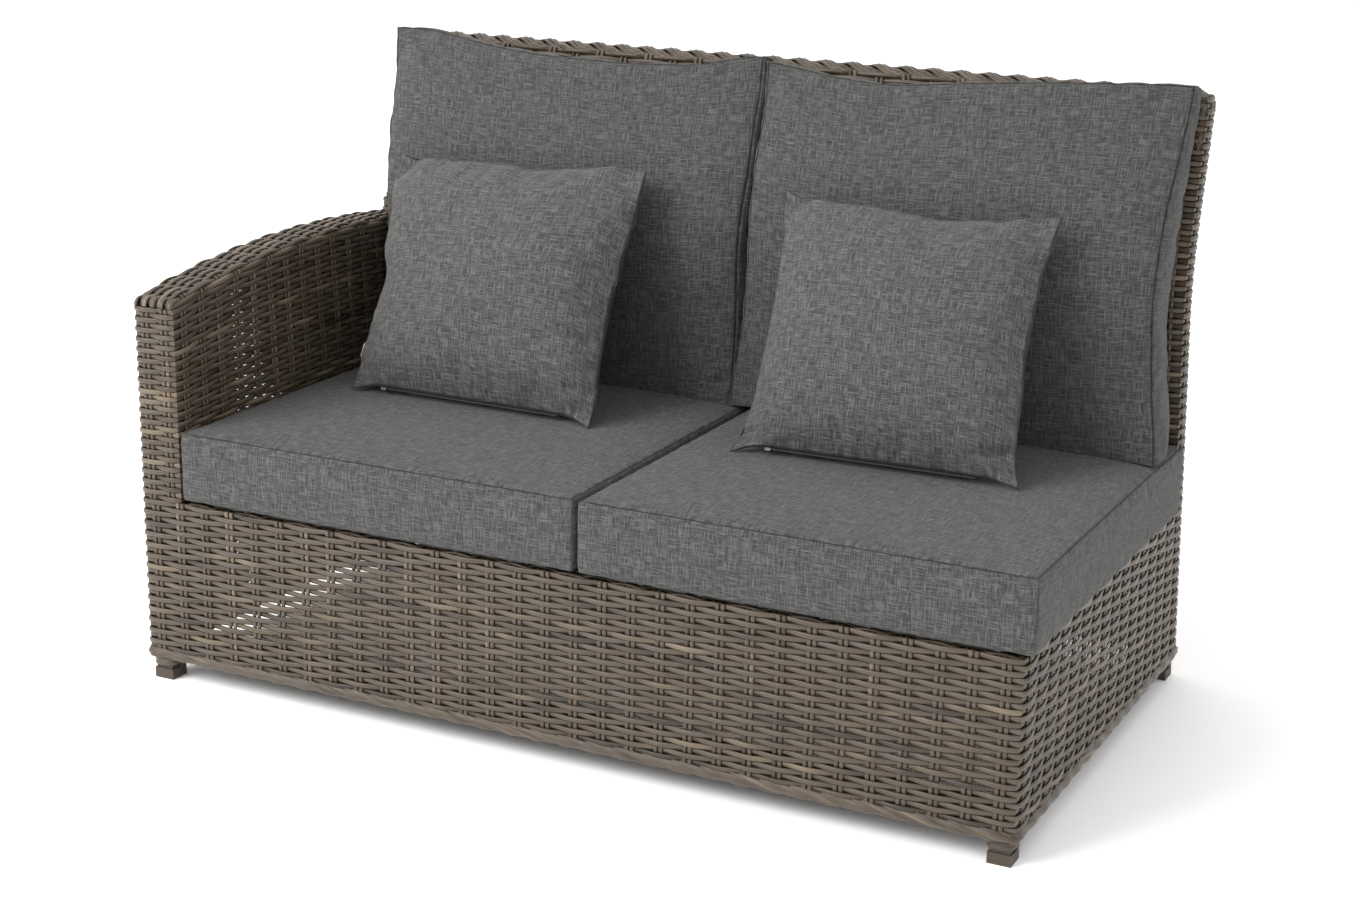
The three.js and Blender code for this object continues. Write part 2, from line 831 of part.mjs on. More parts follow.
legs.forEach(addFoot);
addFrontPosts();
addUprights();
addWidthRails();
addDepthRails();
addArmFrame();
addFrontPanels();
addSidePanels();
addArmSkins();
addBackSkins();
addSeatDeck();
addSeatCushions();
addBackCushions();
addScatterCushions();

// The origin is on the floor, under the middle of the whole outline
sofa.updateMatrixWorld(true);
const outline = new THREE.Box3().setFromObject(sofa, true);
const middle = outline.getCenter(new THREE.Vector3());
sofa.position.set(-middle.x, -middle.y, -outline.min.z);

export default sofa;
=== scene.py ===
"""Woven garden sofa section with one arm: its strands, cushions and finishes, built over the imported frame."""

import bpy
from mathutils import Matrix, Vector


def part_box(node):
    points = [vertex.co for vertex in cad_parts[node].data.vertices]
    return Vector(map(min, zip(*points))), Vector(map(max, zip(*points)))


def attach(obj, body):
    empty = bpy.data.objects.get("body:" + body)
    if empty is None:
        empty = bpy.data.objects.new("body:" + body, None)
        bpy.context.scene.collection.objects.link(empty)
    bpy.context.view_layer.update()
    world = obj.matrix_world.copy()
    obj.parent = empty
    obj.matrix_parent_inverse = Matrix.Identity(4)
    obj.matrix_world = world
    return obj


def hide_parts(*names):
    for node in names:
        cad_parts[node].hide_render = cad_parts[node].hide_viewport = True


bl_info = {
    "name": "Woven Garden Sofa Section",
    "version": (1, 0, 0),
    "blender": (4, 5, 0),
    "location": "View3D > Sidebar > Garden Sofa",
    "description": "Builds the woven strands, cushions, feet and stage of a garden sofa section",
    "category": "Object",
}

import math

import bpy
import numpy as np
from bpy.props import FloatProperty, FloatVectorProperty, IntProperty, PointerProperty
from mathutils import Matrix, Vector

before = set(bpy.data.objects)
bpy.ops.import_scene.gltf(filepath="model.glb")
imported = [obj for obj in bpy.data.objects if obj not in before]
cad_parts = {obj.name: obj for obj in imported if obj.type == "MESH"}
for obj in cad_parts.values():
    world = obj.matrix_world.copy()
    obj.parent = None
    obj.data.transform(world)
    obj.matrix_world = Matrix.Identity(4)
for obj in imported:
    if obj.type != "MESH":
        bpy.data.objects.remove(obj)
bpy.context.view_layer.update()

MILLIMETRE = 0.001

# Places of the woven body, from the frame
skirt_low, skirt_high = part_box("wicker_front_skirt")
deck_low, deck_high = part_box("wicker_seat_deck")
arm_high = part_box("wicker_arm_top")[1]
top_low, top_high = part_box("wicker_back_top")
BODY_LEFT = skirt_low.x
BODY_RIGHT = skirt_high.x
BODY_FRONT = skirt_low.y
SKIRT_BOTTOM = skirt_low.z
DECK_TOP = skirt_high.z
ARM_RIGHT = arm_high.x
ARM_CREST = arm_high.z
BACK_TOP = top_high.z
PANEL = skirt_high.y - skirt_low.y
SEAT_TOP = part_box("seat_cushion_left")[1].z

# Stakes across the arm's front, and stake pitches along the arm up to the back's front face
ARM_FRONT_STAKES = 2
ARM_PITCHES = 15.5
# Height over which the back's left edge moves in above the arm
INSET_RAMP = 20 * MILLIMETRE
# Sides of a strand's oval where it shows close by, and elsewhere
ROUND_SIDES = 8
PLAIN_SIDES = 6
# Steps from stake to stake on the back's two narrow edges, and points along a stake of the deck
EDGE_STEPS = 8
DECK_STAKE_POINTS = 12
# How many times in a metre a strand strays from side to side
STRAY_SCALE = 28.0
# A corner shifts the weavers' swing within about this many stakes of it
CORNER_REACH = 0.25
# How far neighbouring weavers on the arm's top overlap
ARM_TOP_OVERLAP = 0.6 * MILLIMETRE

# The rope borders: strands in a bundle and steps along each
ROLL_STRANDS = 3
ROLL_STEPS = 14
# In stakes: from strand to strand, from a strand's start to its end, and from its bundle to its crest
ROLL_SPACING = 0.29
ROLL_SPAN = 2.3
ROLL_CREST = 1.3
# Each border's section: where its strands start and end in degrees round the edge, its half width and
# half height, how high a strand humps over its neighbours, and how far its ends lie over and under them
FOOT_ROLL = {
    "turns": (85, -95), "width": 4.5 * MILLIMETRE, "height": 6.5 * MILLIMETRE,
    "hump": 1.0 * MILLIMETRE, "dive": 1.6 * MILLIMETRE}
TOP_ROLL = {
    "turns": (205, -25), "width": (top_high.y - top_low.y) / 2 - 3.5 * MILLIMETRE,
    "height": 9 * MILLIMETRE, "hump": 2.2 * MILLIMETRE, "dive": 2.4 * MILLIMETRE}
FOOT_ROLL_STRAND = 6.5 * MILLIMETRE
TOP_ROLL_STRAND = 7 * MILLIMETRE
# From the back's top down to the middle of its border, and the row that the foot border follows
TOP_ROLL_SINK = 12 * MILLIMETRE
FOOT_ROLL_ROW = 0.25
# How often to a stake the foot's line is read
FOOT_ROLL_READINGS = 10

# Turns of the strand wound round a leg, steps to a turn, and the part of a turn left for its own width
LEG_TURNS = 3
LEG_STEPS = 24
LEG_END = 0.6

# From a cover's seam to its first loop of cloth, and on to where the even grid starts
SEAM_LOOP = 3 * MILLIMETRE
GRID_START = 2.3 * SEAM_LOOP
# Shares or lengths within this of each other are the same
SAME = 1e-6

# Frames that a cover is blown up for, and how its cloth behaves
BLOW_FRAMES = 20
CLOTH = {
    "quality": 5, "mass": 0.3, "tension_stiffness": 15, "compression_stiffness": 15,
    "shear_stiffness": 5, "bending_stiffness": 0.15, "use_pressure": True}

# Stage: the camera's sensor in millimetres, the lamp's place, aim and size, and the floor's half width
SENSOR_WIDTH = 36.0
LAMP_PLACE = (-3.0, -4.3, 3.9)
LAMP_AIM = (0.0, 0.0, 0.4)
LAMP_SIZE = (4.0, 3.0)
FLOOR_HALF = 14.0


def linear_colour(code):
    """An sRGB hex colour such as 6f655b as linear red, green and blue."""
    channels = [int(code[i:i + 2], 16) / 255 for i in (0, 2, 4)]
    return tuple(c / 12.92 if c <= 0.04045 else ((c + 0.055) / 1.055) ** 2.4 for c in channels)


def opaque(colour):
    """A linear colour with full alpha."""
    return (*colour, 1.0)


# Kinds of settings
LENGTH = {"subtype": "DISTANCE", "unit": "LENGTH"}
ANGLE = {"subtype": "ANGLE", "unit": "ROTATION"}
COLOUR = {"subtype": "COLOR", "size": 3}


class SofaShape(bpy.types.PropertyGroup):
    """Sizes of the woven body's outline."""

    knee_depth: FloatProperty(
        name="Knee Depth", description="From the front to the rear of the back at its knee",
        default=0.730, **LENGTH)
    knee_above_arm: FloatProperty(
        name="Knee Above Arm", description="Height of the knee over the arm's crest",
        default=0.019, **LENGTH)
    knee_radius: FloatProperty(
        name="Knee Radius", description="Radius of the bend in the rear outline",
        default=0.400, **LENGTH)
    leg_splay: FloatProperty(
        name="Leg Splay", description="How far the rear leans back towards the floor",
        default=math.radians(7.6), **ANGLE)
    recline: FloatProperty(
        name="Recline", description="How far the back leans back above the knee",
        default=math.radians(13.4), **ANGLE)
    arm_crest_depth: FloatProperty(
        name="Arm Crest Depth", description="From the front to the highest point of the arm",
        default=0.430, **LENGTH)
    arm_arc_radius: FloatProperty(
        name="Arm Arc Radius", description="Radius of the arm's top edge in side view",
        default=2.255, **LENGTH)
    back_thickness: FloatProperty(
        name="Back Thickness", description="From the back's front skin to its rear skin",
        default=0.0486, **LENGTH)
    corner_radius: FloatProperty(
        name="Corner Radius", description="Radius at which the weave turns a corner",
        default=0.009, **LENGTH)
    arm_edge_radius: FloatProperty(
        name="Arm Edge Radius", description="Radius of the arm's two long upper edges",
        default=0.014, **LENGTH)
    arm_front_radius: FloatProperty(
        name="Arm Front Radius", description="Radius of the arm's upper edge at its front",
        default=0.012, **LENGTH)
    back_inset: FloatProperty(
        name="Back Inset", description="How far the back's left edge stands in over the arm",
        default=0.010, **LENGTH)
    skin_inset: FloatProperty(
        name="Skin Inset", description="From the body's faces in to the middle of the weave",
        default=0.0025, **LENGTH)
    top_corner_radius: FloatProperty(
        name="Top Corner Radius", description="Radius of the back's upper corners seen from the front",
        default=0.026, **LENGTH)


class SofaWeave(bpy.types.PropertyGroup):
    """Sizes, counts and colours of the woven strands."""

    weaver_width: FloatProperty(
        name="Weaver Width", description="Width of a horizontal strand",
        default=0.0085, **LENGTH)
    weaver_thickness: FloatProperty(
        name="Weaver Thickness", description="Thickness of a horizontal strand",
        default=0.0044, **LENGTH)
    backing_width: FloatProperty(
        name="Backing Width", description="Width of a horizontal strand on the left side and the rear",
        default=0.0104, **LENGTH)
    stake_width: FloatProperty(
        name="Stake Width", description="Width of one strand of an upright pair",
        default=0.0070, **LENGTH)
    stake_thickness: FloatProperty(
        name="Stake Thickness", description="Thickness of one strand of an upright pair",
        default=0.0034, **LENGTH)
    stake_gap: FloatProperty(
        name="Stake Gap", description="Gap between the two strands of an upright pair",
        default=0.0014, **LENGTH)
    weave_depth: FloatProperty(
        name="Weave Depth", description="How far a weaver stands off the middle of the panel",
        default=0.0030, **LENGTH)
    stake_depth: FloatProperty(
        name="Stake Depth", description="How far a stake gives way to a weaver",
        default=0.0013, **LENGTH)
    corner_shift: FloatProperty(
        name="Corner Shift", description="How far a corner shifts the weavers' swing, in stakes",
        default=0.11)
    wobble: FloatProperty(
        name="Wobble", description="How far a strand strays from its line",
        default=0.0007, **LENGTH)
    width_stakes: IntProperty(
        name="Width Stakes", description="Upright pairs across the front and the back", default=31)
    side_stakes: IntProperty(
        name="Side Stakes", description="Upright pairs along a side", default=16)
    base_rows: IntProperty(
        name="Base Rows", description="Rows of weavers from the skirt's foot to the seat", default=29)
    arm_rows: IntProperty(
        name="Arm Rows", description="Rows of weavers from the seat to the arm's edge", default=38)
    upper_rows: IntProperty(
        name="Upper Rows", description="Rows of weavers from the arm's height to the back's top", default=38)
    fine_steps: IntProperty(
        name="Fine Steps", description="Steps from stake to stake on walls that show", default=6)
    coarse_steps: IntProperty(
        name="Coarse Steps", description="Steps from stake to stake on walls behind the cushions", default=4)
    seed: IntProperty(name="Seed", description="Seed of the strands' tones", default=11)
    brown: FloatVectorProperty(
        name="Brown Strand", description="Colour of the browner strands",
        default=linear_colour("605242"), **COLOUR)
    grey: FloatVectorProperty(
        name="Grey Strand", description="Colour of the greyer strands",
        default=linear_colour("655b50"), **COLOUR)
    pale: FloatVectorProperty(
        name="Pale Strand", description="Colour of the palest strands",
        default=linear_colour("8b7b67"), **COLOUR)
    dark: FloatVectorProperty(
        name="Dark Strand", description="Colour of the darkest strands",
        default=linear_colour("41372d"), **COLOUR)


class SofaCushions(bpy.types.PropertyGroup):
    """Sizes and colours of the cushions."""

    seat_thickness: FloatProperty(
        name="Seat Thickness", description="Height of a seat cushion's border",
        default=0.115, **LENGTH)
    seat_crown: FloatProperty(
        name="Seat Crown", description="How far a seat cushion's top rises over its seam",
        default=0.009, **LENGTH)
    back_thickness: FloatProperty(
        name="Back Thickness", description="Depth of a back cushion's border",
        default=0.108, **LENGTH)
    back_crown: FloatProperty(
        name="Back Crown", description="How far a back cushion's face rises over its seam",
        default=0.042, **LENGTH)
    back_rise: FloatProperty(
        name="Back Rise", description="How far a back cushion stands over the woven back",
        default=0.011, **LENGTH)
    scatter_width: FloatProperty(
        name="Scatter Width", description="Width of a scatter cushion",
        default=0.450, **LENGTH)
    scatter_height: FloatProperty(
        name="Scatter Height", description="Height of a scatter cushion",
        default=0.430, **LENGTH)
    scatter_crown: FloatProperty(
        name="Scatter Crown", description="How far a scatter cushion's middle rises over its seam",
        default=0.068, **LENGTH)
    scatter_forward: FloatProperty(
        name="Scatter Forward", description="From the back to a scatter cushion's lower seam",
        default=0.409, **LENGTH)
    scatter_lean: FloatProperty(
        name="Scatter Lean", description="How far a scatter cushion leans back",
        default=math.radians(30), **ANGLE)
    grid: FloatProperty(
        name="Cloth Grid", description="Size of a cell of the covers before their last smoothing",
        default=0.011, **LENGTH)
    yarn_dark: FloatVectorProperty(
        name="Dark Yarn", description="Darkest yarn of the covers",
        default=linear_colour("434344"), **COLOUR)
    yarn_middle: FloatVectorProperty(
        name="Middle Yarn", description="Most common yarn of the covers",
        default=linear_colour("565655"), **COLOUR)
    yarn_light: FloatVectorProperty(
        name="Light Yarn", description="Lightest yarn of the covers",
        default=linear_colour("7d7c7a"), **COLOUR)


class SofaStage(bpy.types.PropertyGroup):
    """Where the camera stands and how bright the light is."""

    camera_place: FloatVectorProperty(
        name="Camera Place", description="Where the camera stands",
        default=(1.5931, -3.2268, 1.4333), subtype="TRANSLATION", unit="LENGTH", size=3)
    camera_yaw: FloatProperty(
        name="Camera Yaw", description="Turn to the left of straight back",
        default=math.radians(26.157), **ANGLE)
    camera_pitch: FloatProperty(
        name="Camera Pitch", description="Tilt down from level",
        default=math.radians(16.345), **ANGLE)
    camera_roll: FloatProperty(
        name="Camera Roll", description="Roll about the line of sight",
        default=math.radians(1.057), **ANGLE)
    lens: FloatProperty(name="Lens", description="Focal length in millimetres", default=63.06)
    sky_strength: FloatProperty(
        name="Sky Strength", description="Strength of the even light from all round", default=0.60)
    key_watts: FloatProperty(
        name="Key Light", description="Strength of the soft light at the front left in watts", default=216.0)
    floor_lift: FloatProperty(
        name="Floor Lift", description="What lifts the lit floor to white for the camera alone", default=2.15)


def add_node(tree, kind, settings=None, inputs=None):
    """Adds a node to a tree, with its settings, and sets or links its inputs."""
    made = tree.nodes.new(kind)
    for name, value in (settings or {}).items():
        setattr(made, name, value)
    for key, value in (inputs or {}).items():
        if isinstance(value, bpy.types.NodeSocket):
            tree.links.new(value, made.inputs[key])
        else:
            made.inputs[key].default_value = value
    return made


def new_material(name):
    """An empty node material and its tree."""
    made = bpy.data.materials.new(name)
    made.use_nodes = True
    made.node_tree.nodes.clear()
    return made, made.node_tree


def finish_material(tree, colour, roughness, bump=None, bump_depth=0.0, **extras):
    """Ends a material's tree in a Principled shader with an optional bump."""
    inputs = {"Base Color": colour, "Roughness": roughness, **extras}
    if bump is not None:
        lift = add_node(tree, "ShaderNodeBump", inputs={
            "Strength": 1.0, "Distance": bump_depth, "Height": bump})
        inputs["Normal"] = lift.outputs["Normal"]
    shader = add_node(tree, "ShaderNodeBsdfPrincipled", inputs=inputs)
    add_node(tree, "ShaderNodeOutputMaterial", inputs={"Surface": shader.outputs["BSDF"]})


def colour_ramp(tree, value, stops):
    """A colour ramp over a value, from (place, linear colour) stops."""
    ramp = add_node(tree, "ShaderNodeValToRGB", inputs={"Fac": value})
    elements = ramp.color_ramp.elements
    while len(elements) < len(stops):
        elements.new(0.5)
    for element, (place, colour) in zip(elements, stops):
        element.position = place
        element.color = opaque(colour)
    return ramp.outputs["Color"]


def woven_resin(settings):
    """Extruded polyethylene strand: a matt plastic with lengthwise drawing lines and a tone of its own."""
    made, tree = new_material("extruded_polyethylene_strand")
    tone = add_node(tree, "ShaderNodeAttribute", {"attribute_name": "tone"})
    along = add_node(tree, "ShaderNodeAttribute", {"attribute_name": "along"})
    around = add_node(tree, "ShaderNodeAttribute", {"attribute_name": "around"})
    # Streaks some 30 mm long and 1 mm wide, 22 to the way round, which differ from strand to strand
    streaks_per_metre, streaks_round, streak_change = 34.0, 22.0, 90.0
    place = add_node(tree, "ShaderNodeCombineXYZ", inputs={
        "X": along.outputs["Fac"], "Y": around.outputs["Fac"], "Z": tone.outputs["Fac"]})
    drawn = add_node(tree, "ShaderNodeVectorMath", {"operation": "MULTIPLY"}, {
        0: place.outputs["Vector"], 1: (streaks_per_metre, streaks_round, streak_change)})
    streaks = add_node(tree, "ShaderNodeTexNoise", inputs={
        "Vector": drawn.outputs["Vector"], "Scale": 1.0, "Detail": 3.0, "Roughness": 0.6})
    # The dye batch drifts along a strand, over 125 mm
    drift_length, drift_change = 125 * MILLIMETRE, 60.0
    length = add_node(tree, "ShaderNodeVectorMath", {"operation": "MULTIPLY"}, {
        0: place.outputs["Vector"], 1: (1 / drift_length, 0.0, drift_change)})
    drift = add_node(tree, "ShaderNodeTexNoise", inputs={
        "Vector": length.outputs["Vector"], "Scale": 1.0, "Detail": 1.0})
    batch = add_node(tree, "ShaderNodeMath", {"operation": "MULTIPLY_ADD"}, {
        0: tone.outputs["Fac"], 1: 0.5, 2: drift.outputs["Fac"]})
    value = add_node(tree, "ShaderNodeMapRange", inputs={
        "Value": batch.outputs["Value"], "From Min": 0.4, "From Max": 1.1})
    stops = (
        (0.0, settings.dark), (0.25, settings.brown), (0.5, settings.grey),
        (0.75, settings.brown), (1.0, settings.pale))
    colour = colour_ramp(tree, value.outputs["Result"], stops)
    shade = add_node(tree, "ShaderNodeMapRange", inputs={
        "Value": streaks.outputs["Fac"], "From Min": 0.25, "From Max": 0.75, "To Min": 0.78, "To Max": 1.22})
    tinted = add_node(tree, "ShaderNodeVectorMath", {"operation": "SCALE"}, {
        0: colour, "Scale": shade.outputs["Result"]})
    finish_material(tree, tinted.outputs["Vector"], 0.34, streaks.outputs["Fac"], 0.3 * MILLIMETRE)
    return made


def polyester_canvas(settings):
    """Solution-dyed polyester canvas: a melange of dark and light slub yarns crossing at right angles."""
    made, tree = new_material("melange_polyester_canvas")
    cloth = add_node(tree, "ShaderNodeUVMap", {"uv_map": "cloth"})
    mixed = 0.0
    # Slubs of both ways, wider than the real ones so that they show: yarns 1.2 mm apart and 18 mm long,
    # and thicker places 3.2 mm wide and 44 mm long
    for wide, long, strength in ((1.2, 18, 0.70), (3.2, 44, 0.30)):
        across, along = 1 / (wide * MILLIMETRE), 1 / (long * MILLIMETRE)
        # Where slubs cross, the lighter one shows
        lighter = 0.0
        for scale in ((across, along, 1.0), (along, across, 1.0)):
            stretched = add_node(tree, "ShaderNodeVectorMath", {"operation": "MULTIPLY"}, {
                0: cloth.outputs["UV"], 1: scale})
            slub = add_node(tree, "ShaderNodeTexNoise", {"noise_dimensions": "2D"}, {
                "Vector": stretched.outputs["Vector"], "Scale": 1.0, "Detail": 0.0})
            yarn = add_node(tree, "ShaderNodeMapRange", inputs={
                "Value": slub.outputs["Fac"], "From Min": 0.3, "From Max": 0.75, "To Max": strength})
            lighter = add_node(tree, "ShaderNodeMath", {"operation": "MAXIMUM"}, {
                0: lighter, 1: yarn.outputs["Result"]}).outputs["Value"]
        mixed = add_node(tree, "ShaderNodeMath", {"operation": "ADD"}, {
            0: mixed, 1: lighter}).outputs["Value"]
    colour = colour_ramp(tree, mixed, (
        (0.25, settings.yarn_dark), (0.58, settings.yarn_middle), (0.9, settings.yarn_light)))
    # Painted shade: the colour darkens along each seam, where the cloth is pinched in and lies in shadow
    seam = add_node(tree, "ShaderNodeAttribute", {"attribute_name": "seam"})
    shade = add_node(tree, "ShaderNodeMapRange", inputs={
        "Value": seam.outputs["Fac"], "From Min": 0.2, "From Max": 0.7, "To Min": 1.0, "To Max": 0.3})
    # Painted shade: each kind of cushion's colour is scaled by a shade factor of its own, darkest on the back
    # cushions, then the seats
    cushion_shade = add_node(tree, "ShaderNodeAttribute", {"attribute_name": "painted_cushion_shade"})
    depth = add_node(tree, "ShaderNodeMath", {"operation": "MULTIPLY"}, {
        0: shade.outputs["Result"], 1: cushion_shade.outputs["Fac"]})
    tinted = add_node(tree, "ShaderNodeVectorMath", {"operation": "SCALE"}, {
        0: colour, "Scale": depth.outputs["Value"]})
    finish_material(
        tree, tinted.outputs["Vector"], 0.92, mixed, 0.5 * MILLIMETRE,
        **{"Sheen Weight": 0.15, "Sheen Roughness": 0.5})
    return made


def grained_material(name, codes, roughness, grain, depth, metallic=0.0):
    """A moulded, coated or plated surface with a fine even grain of a real size in metres."""
    made, tree = new_material(name)
    place = add_node(tree, "ShaderNodeTexCoord")
    noise = add_node(tree, "ShaderNodeTexNoise", inputs={
        "Vector": place.outputs["Object"], "Scale": 1 / grain, "Detail": 3.0})
    stops = [(i / (len(codes) - 1), linear_colour(code)) for i, code in enumerate(codes)]
    colour = colour_ramp(tree, noise.outputs["Fac"], stops)
    finish_material(tree, colour, roughness, noise.outputs["Fac"], depth, Metallic=metallic)
    return made


FINISHES = {}


def finish(name):
    """The finish of that name, made on its first use."""
    if name not in FINISHES:
        makers = {
            "wicker": lambda: woven_resin(bpy.context.scene.sofa_weave),
            "fabric": lambda: polyester_canvas(bpy.context.scene.sofa_cushions),
            # Powder coat on steel tube: an orange-peel skin some 1.5 mm across
            "tube": lambda: grained_material(
                "powder_coated_steel", ("453f39", "524b44"), 0.5, 1.5 * MILLIMETRE, 0.05 * MILLIMETRE),
            # Moulded polypropylene: a matt spark grain
            "cap": lambda: grained_material(
                "moulded_polypropylene", ("4f453b", "5d5247"), 0.6, 2 * MILLIMETRE, 0.08 * MILLIMETRE),
            # Woven nylon zip tape: dull and dark, with the fine grain of its threads
            "tape": lambda: grained_material(
                "woven_nylon_tape", ("2c2c2e", "414144"), 0.85, 0.8 * MILLIMETRE, 0.1 * MILLIMETRE),
            # Nickel-plated die-cast zinc: a grey metal with a soft gloss, dulled outdoors
            "zip_metal": lambda: grained_material(
                "nickel_plated_zinc", ("4a4947", "585754"), 0.42, 3 * MILLIMETRE, 0.02 * MILLIMETRE,
                metallic=1.0),
            # Polyester satin ribbon: off-white with the grain of its threads
            "label": lambda: grained_material(
                "polyester_satin_ribbon", ("dedcd6", "efede8"), 0.7, 1 * MILLIMETRE, 0.05 * MILLIMETRE),
        }
        FINISHES[name] = makers[name]()
    return FINISHES[name]


def dress(obj, name):
    """Gives one of the frame's own nodes a finish."""
    obj.data.materials.clear()
    obj.data.materials.append(finish(name))


def place_piece(obj, body, replaced=()):
    """Makes a finished object ride on a body and stand for the frame's own nodes."""
    if obj.name not in bpy.context.scene.objects:
        bpy.context.scene.collection.objects.link(obj)
    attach(obj, body)
    if replaced:
        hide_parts(*replaced)
    return obj


def smooth_mesh(name, points, faces, material):
    """A smooth shaded mesh object of one material."""
    mesh = bpy.data.meshes.new(name)
    mesh.from_pydata([tuple(p) for p in points], [], [tuple(f) for f in faces])
    mesh.shade_smooth()
    mesh.materials.append(material)
    return bpy.data.objects.new(name, mesh)


# Outline of the woven body

def rear_normal(lean):
    """The direction that points back out of the rear outline at a lean, in side view."""
    return np.array([math.cos(lean), math.sin(lean)])


def knee_centre():
    """The middle of the knee's bend, as depth and height in the row frame."""
    shape = bpy.context.scene.sofa_shape
    knee = np.array([BODY_FRONT + shape.knee_depth, ARM_CREST + shape.knee_above_arm])
    half_turn = (shape.leg_splay + shape.recline) / 2
    middle = rear_normal((shape.leg_splay - shape.recline) / 2)
    return knee + middle * shape.knee_radius / math.cos(half_turn)


def rear_y(inset, height):
    """Depth of the rear outline, moved forwards by an inset, at each height."""
    shape = bpy.context.scene.sofa_shape
    height = np.asarray(height, float)
    centre = knee_centre()
    radius = shape.knee_radius + inset
    low = centre - rear_normal(shape.leg_splay) * radius
    high = centre - rear_normal(-shape.recline) * radius
    bend = centre[0] - np.sqrt(np.maximum(radius ** 2 - (centre[1] - height) ** 2, 0))
    below = low[0] + (low[1] - height) * math.tan(shape.leg_splay)
    above = high[0] + (height - high[1]) * math.tan(shape.recline)
    return np.where(height < low[1], below, np.where(height > high[1], above, bend))


def rear_slope(height):
    """How fast the rear outline moves back with height."""
    step = MILLIMETRE
    return (rear_y(0.0, height + step) - rear_y(0.0, height - step)) / (2 * step)


def arm_top(y):
    """Height of the arm's top edge at a depth."""
    shape = bpy.context.scene.sofa_shape
    crest = BODY_FRONT + shape.arm_crest_depth
    radius = shape.arm_arc_radius
    return ARM_CREST - radius + np.sqrt(radius ** 2 - (y - crest) ** 2)


def row_height(row):
    """Height of a row of weavers, counted from the skirt's foot, on the back and the rear."""
    shape = bpy.context.scene.sofa_shape
    weave = bpy.context.scene.sofa_weave
    arm_edge = arm_top(rear_y(0.0, ARM_CREST)) - shape.arm_edge_radius
    places = (0, weave.base_rows, weave.base_rows + weave.arm_rows,
              weave.base_rows + weave.arm_rows + weave.upper_rows)
    heights = (SKIRT_BOTTOM, DECK_TOP, arm_edge, BACK_TOP - PANEL)
    return np.interp(row, places, heights)


class Wall:
    """One woven wall, from corner to corner, with its rows and its stakes."""

    def __init__(self, start, end, outward, radii, stakes, phase, rows):
        self.start = start
        self.end = end
        self.outward = np.array(outward, float)
        self.radii = radii
        self.stakes = stakes
        self.phase = phase
        self.rows = rows
        self.bend = None
        self.front_leans = False

    def surface(self, share, row):
        """Points on the middle of the panel, and the way it faces, at shares along each row."""
        share = np.atleast_1d(np.asarray(share, float))
        row = np.broadcast_to(np.asarray(row, float), share.shape)
        height = row_height(row)
        start = self.start(height)
        end = self.end(height)
        span = np.linalg.norm(end - start, axis=1)[:, None]
        direction = (end - start) / span
        out = self.outward
        # Each wall goes half way round the corners at its two ends
        first, last = self.radii
        turn_in, turn_out = first * math.pi / 4, last * math.pi / 4
        straight = span - first - last
        reach = share[:, None] * (turn_in + straight + turn_out)
        # A wall that ends against another has no radius there
        tiny = 1e-9
        at_start = np.clip(turn_in - reach, 0, None) / max(first, tiny)
        at_end = np.clip(reach - turn_in - straight, 0, None) / max(last, tiny)
        angle = at_end - at_start
        radius = np.where(angle < 0, first, last)
        facing = out * np.cos(angle) + direction * np.sin(angle)
        middle = start + direction * (first + np.clip(reach - turn_in, 0, straight))
        points = middle - out * radius + facing * radius
        points = np.where(angle == 0, middle, points)
        lean = rear_slope(points[:, 2])
        leaning = (facing[:, 1] > 0) | self.front_leans
        facing[:, 2] = np.where(leaning, -facing[:, 1] * lean, 0)
        facing /= np.linalg.norm(facing, axis=1)[:, None]
        if self.bend:
            points[:, 2] = self.bend(points[:, 1], row)
        return points, facing


class Guides:
    """Lines that strands follow, with the way each faces and where it crosses the stakes."""

    WEAVER, STAKE, BORDER = 0.0, 1.0, 2.0

    def __init__(self):
        self.points = []
        self.faces = []
        self.phases = []
        self.kinds = []
        self.edges = []
        self.count = 0

    def add(self, points, faces, phases, kind):
        """Adds one line."""
        size = len(points)
        index = np.arange(self.count, self.count + size - 1)
        self.edges.append(np.stack([index, index + 1], axis=1))
        self.points.append(points)
        self.faces.append(faces)
        self.phases.append(np.broadcast_to(np.asarray(phases, float), (size,)))
        self.kinds.append(np.full(size, kind))
        self.count += size

    def object(self, name):
        """The lines as an object with its point attributes."""
        points = np.concatenate(self.points)
        mesh = bpy.data.meshes.new(name)
        mesh.from_pydata(points.tolist(), np.concatenate(self.edges).tolist(), [])
        mesh.attributes.new("face", "FLOAT_VECTOR", "POINT").data.foreach_set(
            "vector", np.concatenate(self.faces).astype(np.float32).ravel())
        for label, values in (("phase", self.phases), ("kind", self.kinds)):
            mesh.attributes.new(label, "FLOAT", "POINT").data.foreach_set(
                "value", np.concatenate(values).astype(np.float32))
        made = bpy.data.objects.new(name, mesh)
        bpy.context.scene.collection.objects.link(made)
        return made


STRAND_SIZES = (
    "Weaver Width", "Weaver Thickness", "Stake Width", "Stake Thickness", "Weave Depth", "Stake Depth",
    "Wobble")
STRAND_COUNTS = ("Sides", "Seed")
POINT_NUMBER = {"data_type": "FLOAT", "domain": "POINT"}


